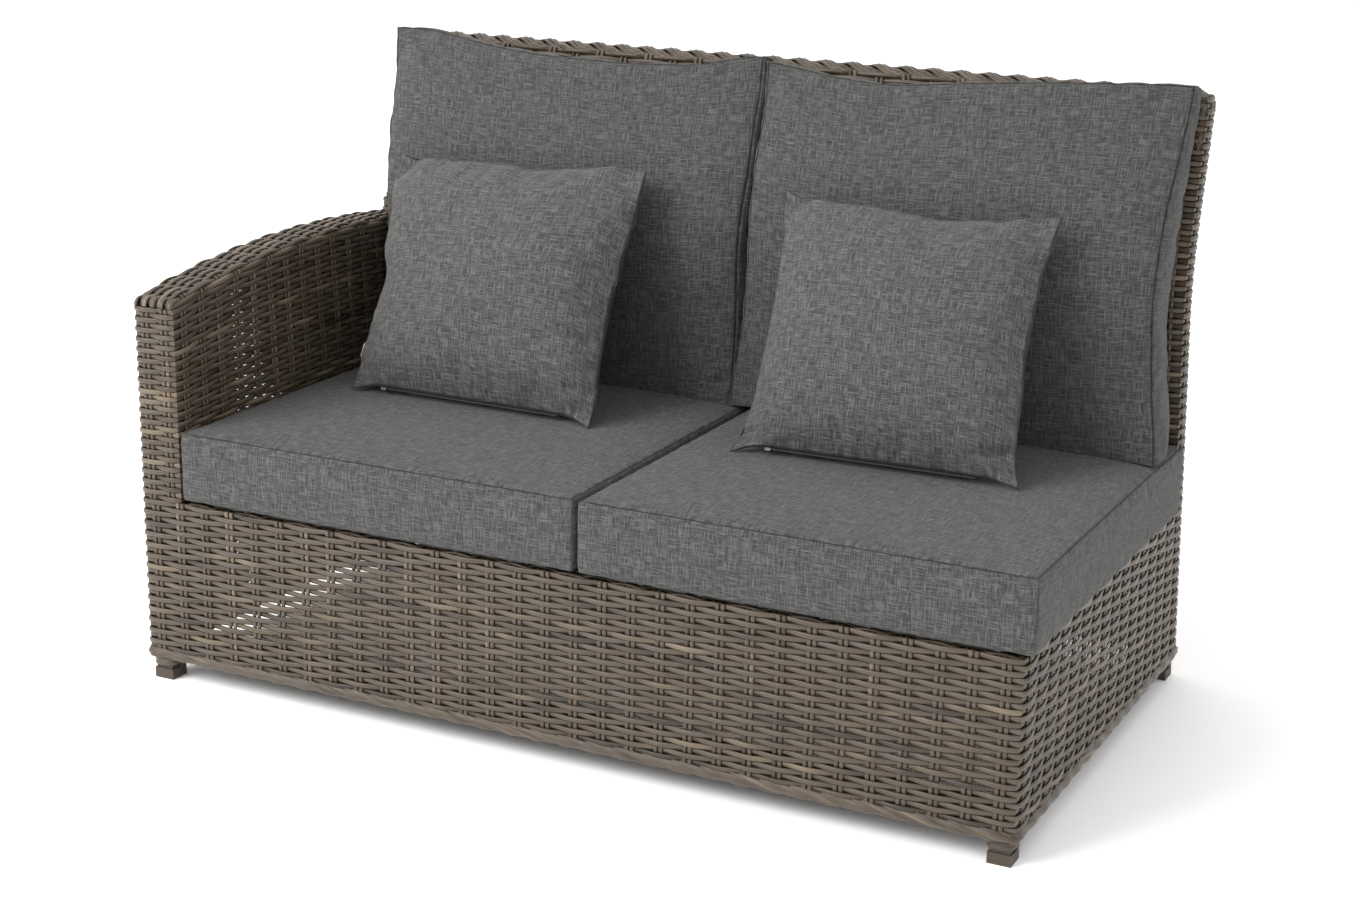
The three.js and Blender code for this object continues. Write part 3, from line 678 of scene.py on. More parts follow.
def strand_tree():
    """Geometry nodes that turn guide lines into flat oval strands that pass over and under."""
    found = bpy.data.node_groups.get("woven_strands")
    if found:
        return found
    tree = bpy.data.node_groups.new("woven_strands", "GeometryNodeTree")
    face = tree.interface
    face.new_socket("Geometry", in_out="INPUT", socket_type="NodeSocketGeometry")
    for label in STRAND_SIZES:
        face.new_socket(label, in_out="INPUT", socket_type="NodeSocketFloat")
    for label in STRAND_COUNTS:
        face.new_socket(label, in_out="INPUT", socket_type="NodeSocketInt")
    face.new_socket("Finish", in_out="INPUT", socket_type="NodeSocketMaterial")
    face.new_socket("Geometry", in_out="OUTPUT", socket_type="NodeSocketGeometry")
    given = add_node(tree, "NodeGroupInput").outputs

    def named(label, kind="FLOAT"):
        return add_node(tree, "GeometryNodeInputNamedAttribute", {"data_type": kind}, {
            "Name": label}).outputs["Attribute"]

    def maths(operation, first, second=0.0):
        return add_node(tree, "ShaderNodeMath", {"operation": operation}, {
            0: first, 1: second}).outputs["Value"]

    lines = add_node(tree, "GeometryNodeMeshToCurve", inputs={"Mesh": given["Geometry"]})
    # A weaver rises over one stake and dives under the next, and each stake gives way to it
    swing = maths("SINE", maths("MULTIPLY", named("phase"), math.pi))
    depth = add_node(tree, "ShaderNodeMapRange", inputs={
        "Value": named("kind"), "From Min": Guides.WEAVER, "From Max": Guides.STAKE,
        "To Min": given["Weave Depth"], "To Max": given["Stake Depth"]})
    woven = maths("LESS_THAN", named("kind"), (Guides.STAKE + Guides.BORDER) / 2)
    lift = maths("MULTIPLY", maths("MULTIPLY", swing, depth.outputs["Result"]), woven)
    facing = named("face", "FLOAT_VECTOR")
    out = add_node(tree, "ShaderNodeVectorMath", {"operation": "SCALE"}, {0: facing, "Scale": lift})
    noise = add_node(tree, "ShaderNodeTexNoise", inputs={"Scale": STRAY_SCALE, "Detail": 1.0})
    centred = add_node(tree, "ShaderNodeVectorMath", {"operation": "SUBTRACT"}, {
        0: noise.outputs["Color"], 1: (0.5, 0.5, 0.5)})
    stray = add_node(tree, "ShaderNodeVectorMath", {"operation": "SCALE"}, {
        0: centred.outputs["Vector"], "Scale": given["Wobble"]})
    shift = add_node(tree, "ShaderNodeVectorMath", {"operation": "ADD"}, {
        0: out.outputs["Vector"], 1: stray.outputs["Vector"]})
    moved = add_node(tree, "GeometryNodeSetPosition", inputs={
        "Geometry": lines.outputs["Curve"], "Offset": shift.outputs["Vector"]})
    turned = add_node(tree, "GeometryNodeSetCurveNormal", {"mode": "FREE"}, {
        "Curve": moved.outputs["Geometry"], "Normal": facing})
    spline = add_node(tree, "GeometryNodeSplineParameter")
    owner = add_node(tree, "GeometryNodeCurveOfPoint")
    tone = add_node(tree, "FunctionNodeRandomValue", {"data_type": "FLOAT"}, {
        "ID": owner.outputs["Curve Index"], "Seed": given["Seed"]})
    dressed = turned.outputs["Curve"]
    for label, value in (("along", spline.outputs["Length"]), ("tone", tone.outputs[1])):
        store = add_node(tree, "GeometryNodeStoreNamedAttribute", POINT_NUMBER, {
            "Geometry": dressed, "Name": label, "Value": value})
        dressed = store.outputs["Geometry"]

    def strands(curves, width, thickness):
        """Sweeps an oval of that width and thickness along curves, its seam on the far side."""
        ring = add_node(tree, "GeometryNodeCurvePrimitiveCircle", inputs={
            "Resolution": given["Sides"], "Radius": 1.0})
        size = add_node(tree, "ShaderNodeCombineXYZ", inputs={
            "X": maths("MULTIPLY", thickness, -0.5), "Y": maths("MULTIPLY", width, -0.5), "Z": 1.0})
        oval = add_node(tree, "GeometryNodeTransform", inputs={
            "Geometry": ring.outputs["Curve"], "Scale": size.outputs["Vector"]})
        around = add_node(tree, "GeometryNodeStoreNamedAttribute", POINT_NUMBER, {
            "Geometry": oval.outputs["Geometry"], "Name": "around",
            "Value": add_node(tree, "GeometryNodeSplineParameter").outputs["Factor"]})
        return add_node(tree, "GeometryNodeCurveToMesh", inputs={
            "Curve": curves, "Profile Curve": around.outputs["Geometry"], "Fill Caps": True}).outputs["Mesh"]

    is_stake = add_node(tree, "FunctionNodeCompare", {"data_type": "FLOAT", "operation": "EQUAL"}, {
        0: named("kind"), 1: Guides.STAKE, "Epsilon": 0.1})
    split = add_node(tree, "GeometryNodeSeparateGeometry", {"domain": "CURVE"}, {
        "Geometry": dressed, "Selection": is_stake.outputs["Result"]})
    joined = add_node(tree, "GeometryNodeJoinGeometry")
    for curves, width, thickness in (
            (split.outputs["Selection"], given["Stake Width"], given["Stake Thickness"]),
            (split.outputs["Inverted"], given["Weaver Width"], given["Weaver Thickness"])):
        tree.links.new(strands(curves, width, thickness), joined.inputs["Geometry"])
    smooth = add_node(tree, "GeometryNodeSetShadeSmooth", inputs={
        "Geometry": joined.outputs["Geometry"], "Shade Smooth": True})
    real = add_node(tree, "GeometryNodeRealizeInstances", inputs={"Geometry": smooth.outputs["Geometry"]})
    painted = add_node(tree, "GeometryNodeSetMaterial", inputs={
        "Geometry": real.outputs["Geometry"], "Material": given["Finish"]})
    add_node(tree, "NodeGroupOutput", inputs={"Geometry": painted.outputs["Geometry"]})
    return tree


def set_inputs(modifier, tree, values):
    """Sets a modifier's inputs from their names, by each socket's identifier."""
    for item in tree.interface.items_tree:
        if item.item_type == "SOCKET" and item.in_out == "INPUT" and item.name in values:
            modifier[item.identifier] = values[item.name]


def plain_mesh(obj, name):
    """The evaluated object as a plain mesh object with no modifier; the first object is removed."""
    bpy.context.view_layer.update()
    graph = bpy.context.evaluated_depsgraph_get()
    mesh = bpy.data.meshes.new_from_object(obj.evaluated_get(graph))
    old = obj.data
    bpy.data.objects.remove(obj)
    bpy.data.meshes.remove(old)
    mesh.name = name
    made = bpy.data.objects.new(name, mesh)
    bpy.context.scene.collection.objects.link(made)
    return made


def weave_piece(name, guides, replaced=(), sides=ROUND_SIDES, **changes):
    """Runs the strands' nodes over guide lines, and places the plain mesh on the frame."""
    weave = bpy.context.scene.sofa_weave
    lines = guides.object(name + "_lines")
    tree = strand_tree()
    values = {
        "Weaver Width": weave.weaver_width,
        "Weaver Thickness": weave.weaver_thickness,
        "Stake Width": weave.stake_width,
        "Stake Thickness": weave.stake_thickness,
        "Weave Depth": weave.weave_depth,
        "Stake Depth": weave.stake_depth,
        "Wobble": weave.wobble,
        "Sides": sides,
        "Seed": weave.seed + sum(map(ord, name)),
        "Finish": finish("wicker"),
        **changes,
    }
    modifier = lines.modifiers.new("strands", "NODES")
    modifier.node_group = tree
    set_inputs(modifier, tree, values)
    made = plain_mesh(lines, name)
    return place_piece(made, "frame", replaced)


def add_rows(guides, wall, steps):
    """Adds a wall's weavers, each one row, alternating over and under the stakes."""
    weave = bpy.context.scene.sofa_weave
    count = max(2, round(wall.stakes * steps))
    share = np.linspace(0, 1, count + 1)
    from_corner = np.minimum(share, 1 - share) * wall.stakes
    shift = weave.corner_shift * np.exp(-(from_corner / CORNER_REACH) ** 2)
    first, last = wall.rows
    for row in range(first, last):
        points, faces = wall.surface(share, row + 0.5)
        phases = wall.phase + share * wall.stakes + row + shift
        guides.add(points, faces, phases, Guides.WEAVER)


def add_stakes(guides, wall, fine):
    """Adds a wall's upright pairs of strands, which sway the other way from the weavers."""
    weave = bpy.context.scene.sofa_weave
    first, last = wall.rows
    rows = np.concatenate([[first], np.arange(first, last) + 0.5, [last]])
    if fine:
        rows = np.linspace(first, last, 2 * (last - first) + 1)
    half = (weave.stake_width + weave.stake_gap) / 2
    # A share that is small enough to give the wall's direction
    small = 0.001
    for stake in range(int(wall.stakes)):
        share = np.full(len(rows), (stake + 0.5) / wall.stakes)
        phases = wall.phase + stake + rows + 1
        points, faces = wall.surface(share, rows)
        across = wall.surface(share + small, rows)[0] - points
        across /= np.linalg.norm(across, axis=1)[:, None]
        for side in (-half, half):
            guides.add(points + across * side, faces, phases, Guides.STAKE)


def body_walls():
    """The woven walls by name, in order round the base, the arm and the back."""
    shape = bpy.context.scene.sofa_shape
    weave = bpy.context.scene.sofa_weave
    inset = shape.skin_inset
    turn = shape.corner_radius - inset
    left, right, front = BODY_LEFT + inset, BODY_RIGHT - inset, BODY_FRONT + inset
    arm_right = ARM_RIGHT - inset
    near, far = inset, shape.back_thickness - PANEL / 2
    wide, deep = weave.width_stakes, weave.side_stakes
    base, arm = weave.base_rows, weave.base_rows + weave.arm_rows
    top = arm + weave.upper_rows

    def draw_in(height):
        """How far the back's upper corners are rounded off at a height."""
        radius = shape.top_corner_radius
        over = np.clip(height - (BACK_TOP - radius), 0, radius)
        return radius - np.sqrt(radius ** 2 - over ** 2)

    def at(x, depth, side=0):
        """A corner line: its place at each height."""
        def corner(height):
            y = depth(height) if callable(depth) else np.full(len(height), depth)
            above = np.clip((height - ARM_CREST) / INSET_RAMP, 0, 1)
            inward = shape.back_inset * above if side < 0 else 0
            return np.stack([x - side * draw_in(height) + inward, y, height], axis=1)
        return corner

    def rear(height):
        return rear_y(near, height)

    def back_face(height):
        return rear_y(far, height)

    def fan(y, row):
        """Height of an arm's row at a depth: rows fan out under the arm's arc."""
        level = (row - base) / weave.arm_rows
        edge = arm_top(y) - shape.arm_edge_radius
        return np.where(row < base, row_height(row), DECK_TOP + (edge - DECK_TOP) * level)

    walls = {}

    def add(name, *facts):
        walls[name] = Wall(*facts)
        return walls[name]

    add("skirt", at(left, front), at(right, front), (0, -1, 0), (turn, turn), wide, 0, (0, base))
    add("right", at(right, front), at(right, rear), (1, 0, 0), (turn, turn), deep, wide, (0, base))
    phase = wide + deep
    add("rear", at(right, rear, 1), at(left, rear, -1), (0, 1, 0), (turn, turn), wide, phase, (0, top))
    phase += wide
    outer = add("left", at(left, rear), at(left, front), (-1, 0, 0), (turn, turn), deep, phase, (0, arm))
    outer.bend = fan
    phase += deep
    facing = add("arm_front", at(left, front), at(arm_right, front), (0, -1, 0), (turn, turn),
                 ARM_FRONT_STAKES, phase, (base, arm))
    facing.bend = fan
    inner = add("arm_inner", at(arm_right, front), at(arm_right, back_face), (1, 0, 0), (turn, 0),
                ARM_PITCHES, phase + ARM_FRONT_STAKES, (base, arm))
    inner.bend = fan
    # The back's front ends where its right edge starts, one stake before the rear
    face = add("back_front", at(left, back_face, -1), at(right, back_face, 1), (0, -1, 0), (turn, turn),
               wide, deep - 1, (base, top))
    face.front_leans = True
    edge = add("right_edge", at(right, back_face, 1), at(right, rear, 1), (1, 0, 0), (turn, turn), 1,
               wide + deep - 1, (base, top))
    edge.front_leans = True
    edge = add("left_edge", at(left, rear, -1), at(left, back_face, -1), (-1, 0, 0), (turn, turn), 1,
               wide + deep + wide, (arm, top))
    edge.front_leans = True
    return walls


def woven_wall(name, wall, replaced, steps, sides, **changes):
    """One wall's rows and stakes as a piece."""
    guides = Guides()
    add_rows(guides, wall, steps)
    add_stakes(guides, wall, sides == ROUND_SIDES)
    return weave_piece(name, guides, replaced, sides, **changes)


class SOFA_OT_woven_base(bpy.types.Operator):
    """Weave the front skirt, the right side and the rear"""

    bl_idname = "sofa.woven_base"
    bl_label = "Woven Base"

    def execute(self, context):
        weave = context.scene.sofa_weave
        walls = body_walls()
        for name, wall in (("front_skirt", "skirt"), ("right_side", "right")):
            woven_wall("woven_" + name, walls[wall], ("wicker_" + name,), weave.fine_steps, ROUND_SIDES)
        rear = walls["rear"]
        middle = weave.base_rows + weave.arm_rows
        for part, rows, replaced in (
                ("lower", (0, middle), ("wicker_back_rear",)), ("upper", (middle, rear.rows[1]), ())):
            rear.rows = rows
            woven_wall("woven_rear_" + part, rear, replaced, weave.coarse_steps, PLAIN_SIDES,
                       **{"Weaver Width": weave.backing_width})
        return {"FINISHED"}


class SOFA_OT_woven_arm(bpy.types.Operator):
    """Weave the arm's outer side, front, inner side and top"""

    bl_idname = "sofa.woven_arm"
    bl_label = "Woven Arm"

    def execute(self, context):
        weave = context.scene.sofa_weave
        walls = body_walls()
        woven_wall("woven_left_side", walls["left"], ("wicker_left_side",), weave.coarse_steps,
                   ROUND_SIDES, **{"Weaver Width": weave.backing_width})
        for name in ("arm_front", "arm_inner"):
            woven_wall("woven_" + name, walls[name], ("wicker_" + name,), weave.fine_steps, ROUND_SIDES)
        self.weave_top(weave, context.scene.sofa_shape)
        return {"FINISHED"}

    def weave_top(self, weave, shape):
        """Lengthwise weavers that wrap the arm's upper edges and bend down at the front."""
        guides = Guides()
        turn = shape.arm_edge_radius - shape.skin_inset
        bend_radius = shape.arm_front_radius
        flat = ARM_RIGHT - BODY_LEFT - 2 * shape.arm_edge_radius
        girth = flat + turn * math.pi
        count = round(girth / (weave.weaver_width - ARM_TOP_OVERLAP))
        back = rear_y(shape.back_thickness, ARM_CREST) - MILLIMETRE
        front = BODY_FRONT + shape.skin_inset + bend_radius
        flat_steps = round(ARM_PITCHES * weave.fine_steps)
        turn_steps = 4
        y = np.append(np.linspace(back, front, flat_steps + 1), np.full(turn_steps, front))
        bend = np.append(np.zeros(flat_steps + 1), np.linspace(0, math.pi / 2, turn_steps + 1)[1:])
        for row in range(count):
            reach = (row + 0.5) / count * girth - turn * math.pi / 2
            x, angle = self.round_the_arm(reach, flat, turn, shape)
            upward = max(math.cos(angle), 0)
            points = np.stack([
                np.full(len(y), x + turn * math.sin(angle)),
                y - bend_radius * np.sin(bend),
                arm_top(y) - shape.arm_edge_radius + turn * math.cos(angle)
                - bend_radius * (1 - np.cos(bend)) * upward], axis=1)
            facing = np.stack([
                np.full(len(y), math.sin(angle)), -upward * np.sin(bend), upward * np.cos(bend)], axis=1)
            facing /= np.maximum(np.linalg.norm(facing, axis=1)[:, None], SAME)
            length = np.append(0, np.cumsum(np.linalg.norm(np.diff(points, axis=0), axis=1)))
            phases = ARM_PITCHES * (1 - length / length[flat_steps]) + row
            guides.add(points, facing, phases, Guides.WEAVER)
        self.add_cross_stakes(guides, weave, shape, (turn, flat, girth, count), (back, front))
        weave_piece("woven_arm_top", guides, ("wicker_arm_top",))

    def round_the_arm(self, reach, flat, turn, shape):
        """The line that the arm's section turns about, and the turn, at a reach across the arm."""
        angle = np.clip(reach, -math.pi, 0) / turn + np.clip(reach - flat, 0, None) / turn
        return BODY_LEFT + shape.arm_edge_radius + np.clip(reach, 0, flat), angle

    def add_cross_stakes(self, guides, weave, shape, section, run):
        """Pairs of strands that cross the arm's top under and over its weavers."""
        turn, flat, girth, count = section
        back, front = run
        reach = np.linspace(0, girth, 2 * count + 1) - turn * math.pi / 2
        x, angle = self.round_the_arm(reach, flat, turn, shape)
        facing = np.stack([np.sin(angle), np.zeros(len(x)), np.cos(angle)], axis=1)
        half = (weave.stake_width + weave.stake_gap) / 2
        for stake in range(int(ARM_PITCHES)):
            middle = front + (back - front) * (stake + 0.5) / ARM_PITCHES
            for side in (-half, half):
                y = np.full(len(x), middle + side)
                core = np.stack([x, y, arm_top(y) - shape.arm_edge_radius], axis=1)
                phases = stake + np.linspace(0, count, len(x)) + 1
                guides.add(core + facing * turn, facing, phases, Guides.STAKE)


class SOFA_OT_woven_back(bpy.types.Operator):
    """Weave the back's front skin and its two edges"""

    bl_idname = "sofa.woven_back"
    bl_label = "Woven Back"

    def execute(self, context):
        weave = context.scene.sofa_weave
        walls = body_walls()
        for name, wall, steps, sides in (
                ("back_front", "back_front", weave.coarse_steps, PLAIN_SIDES),
                ("back_right_edge", "right_edge", EDGE_STEPS, ROUND_SIDES),
                ("back_left_edge", "left_edge", EDGE_STEPS, ROUND_SIDES)):
            woven_wall("woven_" + name, walls[wall], ("wicker_" + name,), steps, sides)
        return {"FINISHED"}


class SOFA_OT_woven_deck(bpy.types.Operator):
    """Weave the seat deck under the cushions"""

    bl_idname = "sofa.woven_deck"
    bl_label = "Woven Deck"

    def execute(self, context):
        weave = context.scene.sofa_weave
        guides = Guides()
        height = (deck_low.z + deck_high.z) / 2
        up = np.array([0.0, 0.0, 1.0])
        pitch = (BODY_RIGHT - BODY_LEFT) / weave.width_stakes
        row_pitch = (DECK_TOP - SKIRT_BOTTOM) / weave.base_rows
        stakes = (deck_high.x - deck_low.x) / pitch
        x = np.linspace(deck_low.x, deck_high.x, round(stakes * weave.coarse_steps) + 1)
        rows = int((deck_high.y - deck_low.y) / row_pitch)
        for row in range(rows):
            y = deck_low.y + (row + 0.5) * row_pitch
            points = np.stack([x, np.full(len(x), y), np.full(len(x), height)], axis=1)
            faces = np.broadcast_to(up, points.shape)
            guides.add(points, faces, (x - deck_low.x) / pitch + row, Guides.WEAVER)
        half = (weave.stake_width + weave.stake_gap) / 2
        y = np.linspace(deck_low.y, deck_high.y, DECK_STAKE_POINTS)
        for stake in range(int(stakes)):
            for side in (-half, half):
                middle = deck_low.x + (stake + 0.5) * pitch + side
                points = np.stack([np.full(len(y), middle), y, np.full(len(y), height)], axis=1)
                guides.add(points, np.broadcast_to(up, points.shape), 0.0, Guides.STAKE)
        weave_piece("woven_seat_deck", guides, ("wicker_seat_deck",), PLAIN_SIDES)
        return {"FINISHED"}


class SOFA_OT_woven_borders(bpy.types.Operator):
    """Roll the rope borders along the skirt's foot and over the back's top"""

    bl_idname = "sofa.woven_borders"
    bl_label = "Woven Borders"

    def execute(self, context):
        weave = context.scene.sofa_weave
        guides = Guides()
        around = range(2 * (weave.width_stakes + weave.side_stakes))
        self.roll(guides, self.foot_path(weave), around, FOOT_ROLL)
        weave_piece("woven_foot_border", guides, **{"Weaver Width": FOOT_ROLL_STRAND})
        guides = Guides()
        across = range(-1, weave.width_stakes)
        self.roll(guides, self.top_path(weave, context.scene.sofa_shape), across, TOP_ROLL)
        weave_piece("woven_top_border", guides, ("wicker_back_top",), **{"Weaver Width": TOP_ROLL_STRAND})
        return {"FINISHED"}

    def roll(self, guides, path, bundles, form):
        """Bundles of three strands, one bundle to a stake, each wound half round the edge over the next."""
        share = np.linspace(0, 1, ROLL_STEPS + 1)
        first, last = np.radians(form["turns"])
        angle = first + (last - first) * share
        for bundle in bundles:
            for strand in range(ROLL_STRANDS):
                stakes = bundle + ROLL_SPACING * strand + ROLL_SPAN * share
                centre, out, up = path(stakes)
                wave = form["hump"] * np.cos(2 * math.pi * (stakes - bundle - ROLL_CREST))
                lift = wave + form["dive"] * (1 - 2 * share)
                points = (centre + out * (np.cos(angle) * (form["width"] + lift))[:, None]
                          + up * (np.sin(angle) * (form["height"] + lift))[:, None])
                faces = (out * (np.cos(angle) / form["width"])[:, None]
                         + up * (np.sin(angle) / form["height"])[:, None])
                faces /= np.linalg.norm(faces, axis=1)[:, None]
                guides.add(points, faces, 0.0, Guides.BORDER)

    def foot_path(self, weave):
        """The line round the foot of the four sides, counted in stakes, with its outward and upward ways."""
        walls = body_walls()
        count = 2 * (weave.width_stakes + weave.side_stakes)
        places, points, outs = [], [], []
        for name in ("skirt", "right", "rear", "left"):
            wall = walls[name]
            share = np.linspace(0, 1, FOOT_ROLL_READINGS * wall.stakes + 1)[:-1]
            line, faces = wall.surface(share, FOOT_ROLL_ROW)
            faces[:, 2] = 0
            places.append(wall.phase + share * wall.stakes)
            points.append(line)
            outs.append(faces / np.linalg.norm(faces, axis=1)[:, None])
        places, points, outs = (np.concatenate(part) for part in (places, points, outs))

        def read(part, stakes):
            return np.stack([np.interp(stakes, places, column, period=count) for column in part.T], axis=1)

        def path(stakes):
            centre, out = read(points, stakes), read(outs, stakes)
            return centre, out, np.broadcast_to([0.0, 0.0, 1.0], out.shape)
        return path

    def top_path(self, weave, shape):
        """The line over the back's top, round its two corners, counted in stakes from the left."""
        radius = shape.top_corner_radius
        left, right = BODY_LEFT + shape.back_inset + radius, BODY_RIGHT - radius
        pitch = (BODY_RIGHT - BODY_LEFT) / weave.width_stakes
        middle_y = (top_high.y + top_low.y) / 2
        turn = radius - TOP_ROLL_SINK

        def path(stakes):
            x = BODY_LEFT + stakes * pitch
            beyond = np.clip(x - right, 0, None) - np.clip(left - x, 0, None)
            angle = np.clip(beyond / radius, -math.pi / 2, math.pi / 2)
            down = np.abs(beyond) - np.abs(angle) * radius
            up = np.stack([np.sin(angle), np.zeros(len(x)), np.cos(angle)], axis=1)
            centre = np.stack([
                np.clip(x, left, right), np.zeros(len(x)), BACK_TOP - radius - down], axis=1) + up * turn
            # Past a corner the strands go down along the back's lean
            lean = rear_y(0.0, centre[:, 2]) - rear_y(0.0, BACK_TOP - TOP_ROLL_SINK)
            centre[:, 1] = middle_y + lean
            return centre, np.broadcast_to([0.0, -1.0, 0.0], up.shape), up
        return path


class SOFA_OT_feet(bpy.types.Operator):
    """Wind the legs with strand and finish their caps and the hidden tubes"""

    bl_idname = "sofa.feet"
    bl_label = "Legs and Frame"

    def execute(self, context):
        for corner in ("front_left", "front_right", "rear_left", "rear_right"):
            self.wind_leg(context.scene.sofa_weave, corner)
        others = ("wicker_", "seat_cushion", "back_cushion", "scatter_", "leg_wrap", "zip_", "sewn_")
        for name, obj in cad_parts.items():
            if not name.startswith(others):
                dress(obj, "cap" if name.startswith("foot_cap") else "tube")
        return {"FINISHED"}

    def wind_leg(self, weave, corner):
        """One strand wound round a leg in a tight helix."""
        low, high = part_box("leg_wrap_" + corner)
        guides = Guides()
        half = (high - low) / 2
        middle = (high + low) / 2
        angle = np.linspace(0, 2 * math.pi * LEG_TURNS, LEG_TURNS * LEG_STEPS + 1)
        # A rounded square: the sum of fourth powers holds
        reach = (np.cos(angle) ** 4 + np.sin(angle) ** 4) ** -0.25
        skin = weave.weaver_thickness / 2
        climb = (high.z - low.z) * (1 - LEG_END / LEG_TURNS)
        points = np.stack([
            middle.x + (half.x - skin) * reach * np.cos(angle),
            middle.y + (half.y - skin) * reach * np.sin(angle),
            low.z + weave.weaver_width / 2 + climb * angle / angle[-1]], axis=1)
        faces = np.stack([np.cos(angle) ** 3, np.sin(angle) ** 3, np.zeros(len(angle))], axis=1)
        faces /= np.linalg.norm(faces, axis=1)[:, None]
        guides.add(points, faces, 0.0, Guides.BORDER)
        weave_piece("wound_leg_" + corner, guides, ("leg_wrap_" + corner,), **{"Wobble": 0.0})


# Cushions

def grid_stops(length, cell):
    """Lengths of the grid's loops along one side, with two close to the seam at each end."""
    if length < 4 * SEAM_LOOP:
        return np.array([0.0, length])
    count = max(1, round((length - 2 * GRID_START) / cell))
    middle = np.linspace(GRID_START, length - GRID_START, count + 1)
    return np.concatenate([[0.0, SEAM_LOOP], middle, [length - SEAM_LOOP, length]])


def cover_grid(size, cell):
    """A closed box of cells: its points as shares from -1 to 1, its faces and its corners' cloth places."""
    stops = [grid_stops(length, cell) for length in size]
    shape = [len(stop) for stop in stops]
    index = np.full(shape, -1)
    rim = np.zeros(shape, bool)
    for axis in range(3):
        for end in (0, -1):
            cut = [slice(None)] * 3
            cut[axis] = end
            rim[tuple(cut)] = True
    index[rim] = np.arange(rim.sum())
    places = np.argwhere(rim)
    lengths = np.stack([stops[axis][places[:, axis]] for axis in range(3)], axis=1)
    shares = lengths / np.array(size) * 2 - 1
    faces, cloth = [], []
    for axis in range(3):
        first, second = [a for a in range(3) if a != axis]
        for end in (0, shape[axis] - 1):
            corners = np.indices((shape[first] - 1, shape[second] - 1)).reshape(2, -1).T
            ring = [(0, 0), (1, 0), (1, 1), (0, 1)]
            if (end == 0) == (axis != 1):
                ring.reverse()
            quads, spots = [], []
            for step in ring:
                spot = np.zeros((len(corners), 3), int)
                spot[:, first] = corners[:, 0] + step[0]
                spot[:, second] = corners[:, 1] + step[1]
                spot[:, axis] = end
                quads.append(index[tuple(spot.T)])
                across, along = stops[first][spot[:, first]], stops[second][spot[:, second]]
                # Each pair of panels has a stretch of cloth of its own
                spots.append(np.stack([across, along + axis], axis=1))
            faces.append(np.stack(quads, axis=1))
            cloth.append(np.stack(spots, axis=1))
    return shares, np.concatenate(faces), np.concatenate(cloth)


# How square the bulge of a seat cushion's border is: the higher, the closer to its seams it starts
BORDER_POWER = 16


def stuffed(shares, form):
    """Places of a stuffed cover: crowned faces, drawn-in sides and a swelling border."""
    u, v, w = shares.T
    corner = 1 - form["corner_share"] * np.abs(u * v) ** form["corner_power"]
    pull_x = form["side_draw"] * (1 - np.abs(v) ** form["draw_power"])
    pull_y = form["end_draw"] * (1 - np.abs(u) ** form["draw_power"])
    half_x = (form["width"] / 2 - pull_x) * corner
    half_y = (form["height"] / 2 - pull_y) * corner
    swell = form["swell"] * (1 - w ** BORDER_POWER)
    power, blend = form["fullness"]
    crown = np.maximum((1 - np.abs(u) ** power) * (1 - np.abs(v) ** power), 0) ** blend
    crown_here = np.where(w > 0, form["front_crown"], form["rear_crown"])
    # The border rolls up beside its seams
    on_border = np.maximum(np.abs(u), np.abs(v)) > 1 - SAME
    lip = on_border * form["lip"] * 4 * w ** BORDER_POWER * (1 - w ** BORDER_POWER)
    return np.stack([
        u * (half_x + swell),
        v * (half_y + swell),
        w * (form["thickness"] / 2 + crown_here * crown) + np.sign(w) * lip], axis=1)


def creased(points, shares, folds):
    """Presses folds into a cover's front: each runs from one share of the face to another."""
    w = shares[:, 2]
    moved = points.copy()
    for start, end, depth, width in folds:
        start, end = np.array(start), np.array(end)
        span = end - start
        from_start = shares[:, :2] - start
        along = np.clip(from_start @ span / (span @ span), 0, 1)
        half = np.abs(points[:, :2]).max(axis=0)
        away = np.linalg.norm((from_start - along[:, None] * span) * half, axis=1)
        moved[:, 2] -= np.where(w > 0, depth * np.exp(-(away / width) ** 2), 0)
    return moved


def seam_points(shares):
    """Which points lie on a seam: the rims of the front and rear panels."""
    outermost = np.abs(shares) > 1 - SAME
    return outermost[:, 2] & (outermost[:, 0] | outermost[:, 1])


def cover_object(name, points, faces, cloth):
    """A cover's mesh with its cloth places in a UV map."""
    made = smooth_mesh(name, points, faces, finish("fabric"))
    layer = made.data.uv_layers.new(name="cloth")
    layer.data.foreach_set("uv", cloth.reshape(-1, 2).astype(np.float32).ravel())
    bpy.context.scene.collection.objects.link(made)
    return made


def mesh_points(mesh):
    """A mesh's points as an array."""
    points = np.zeros(len(mesh.vertices) * 3)
    mesh.vertices.foreach_get("co", points)
    return points.reshape(-1, 3)


def set_points(obj, points):
    """Moves a mesh object's points."""
    obj.data.vertices.foreach_set("co", points.ravel())
    obj.data.update()


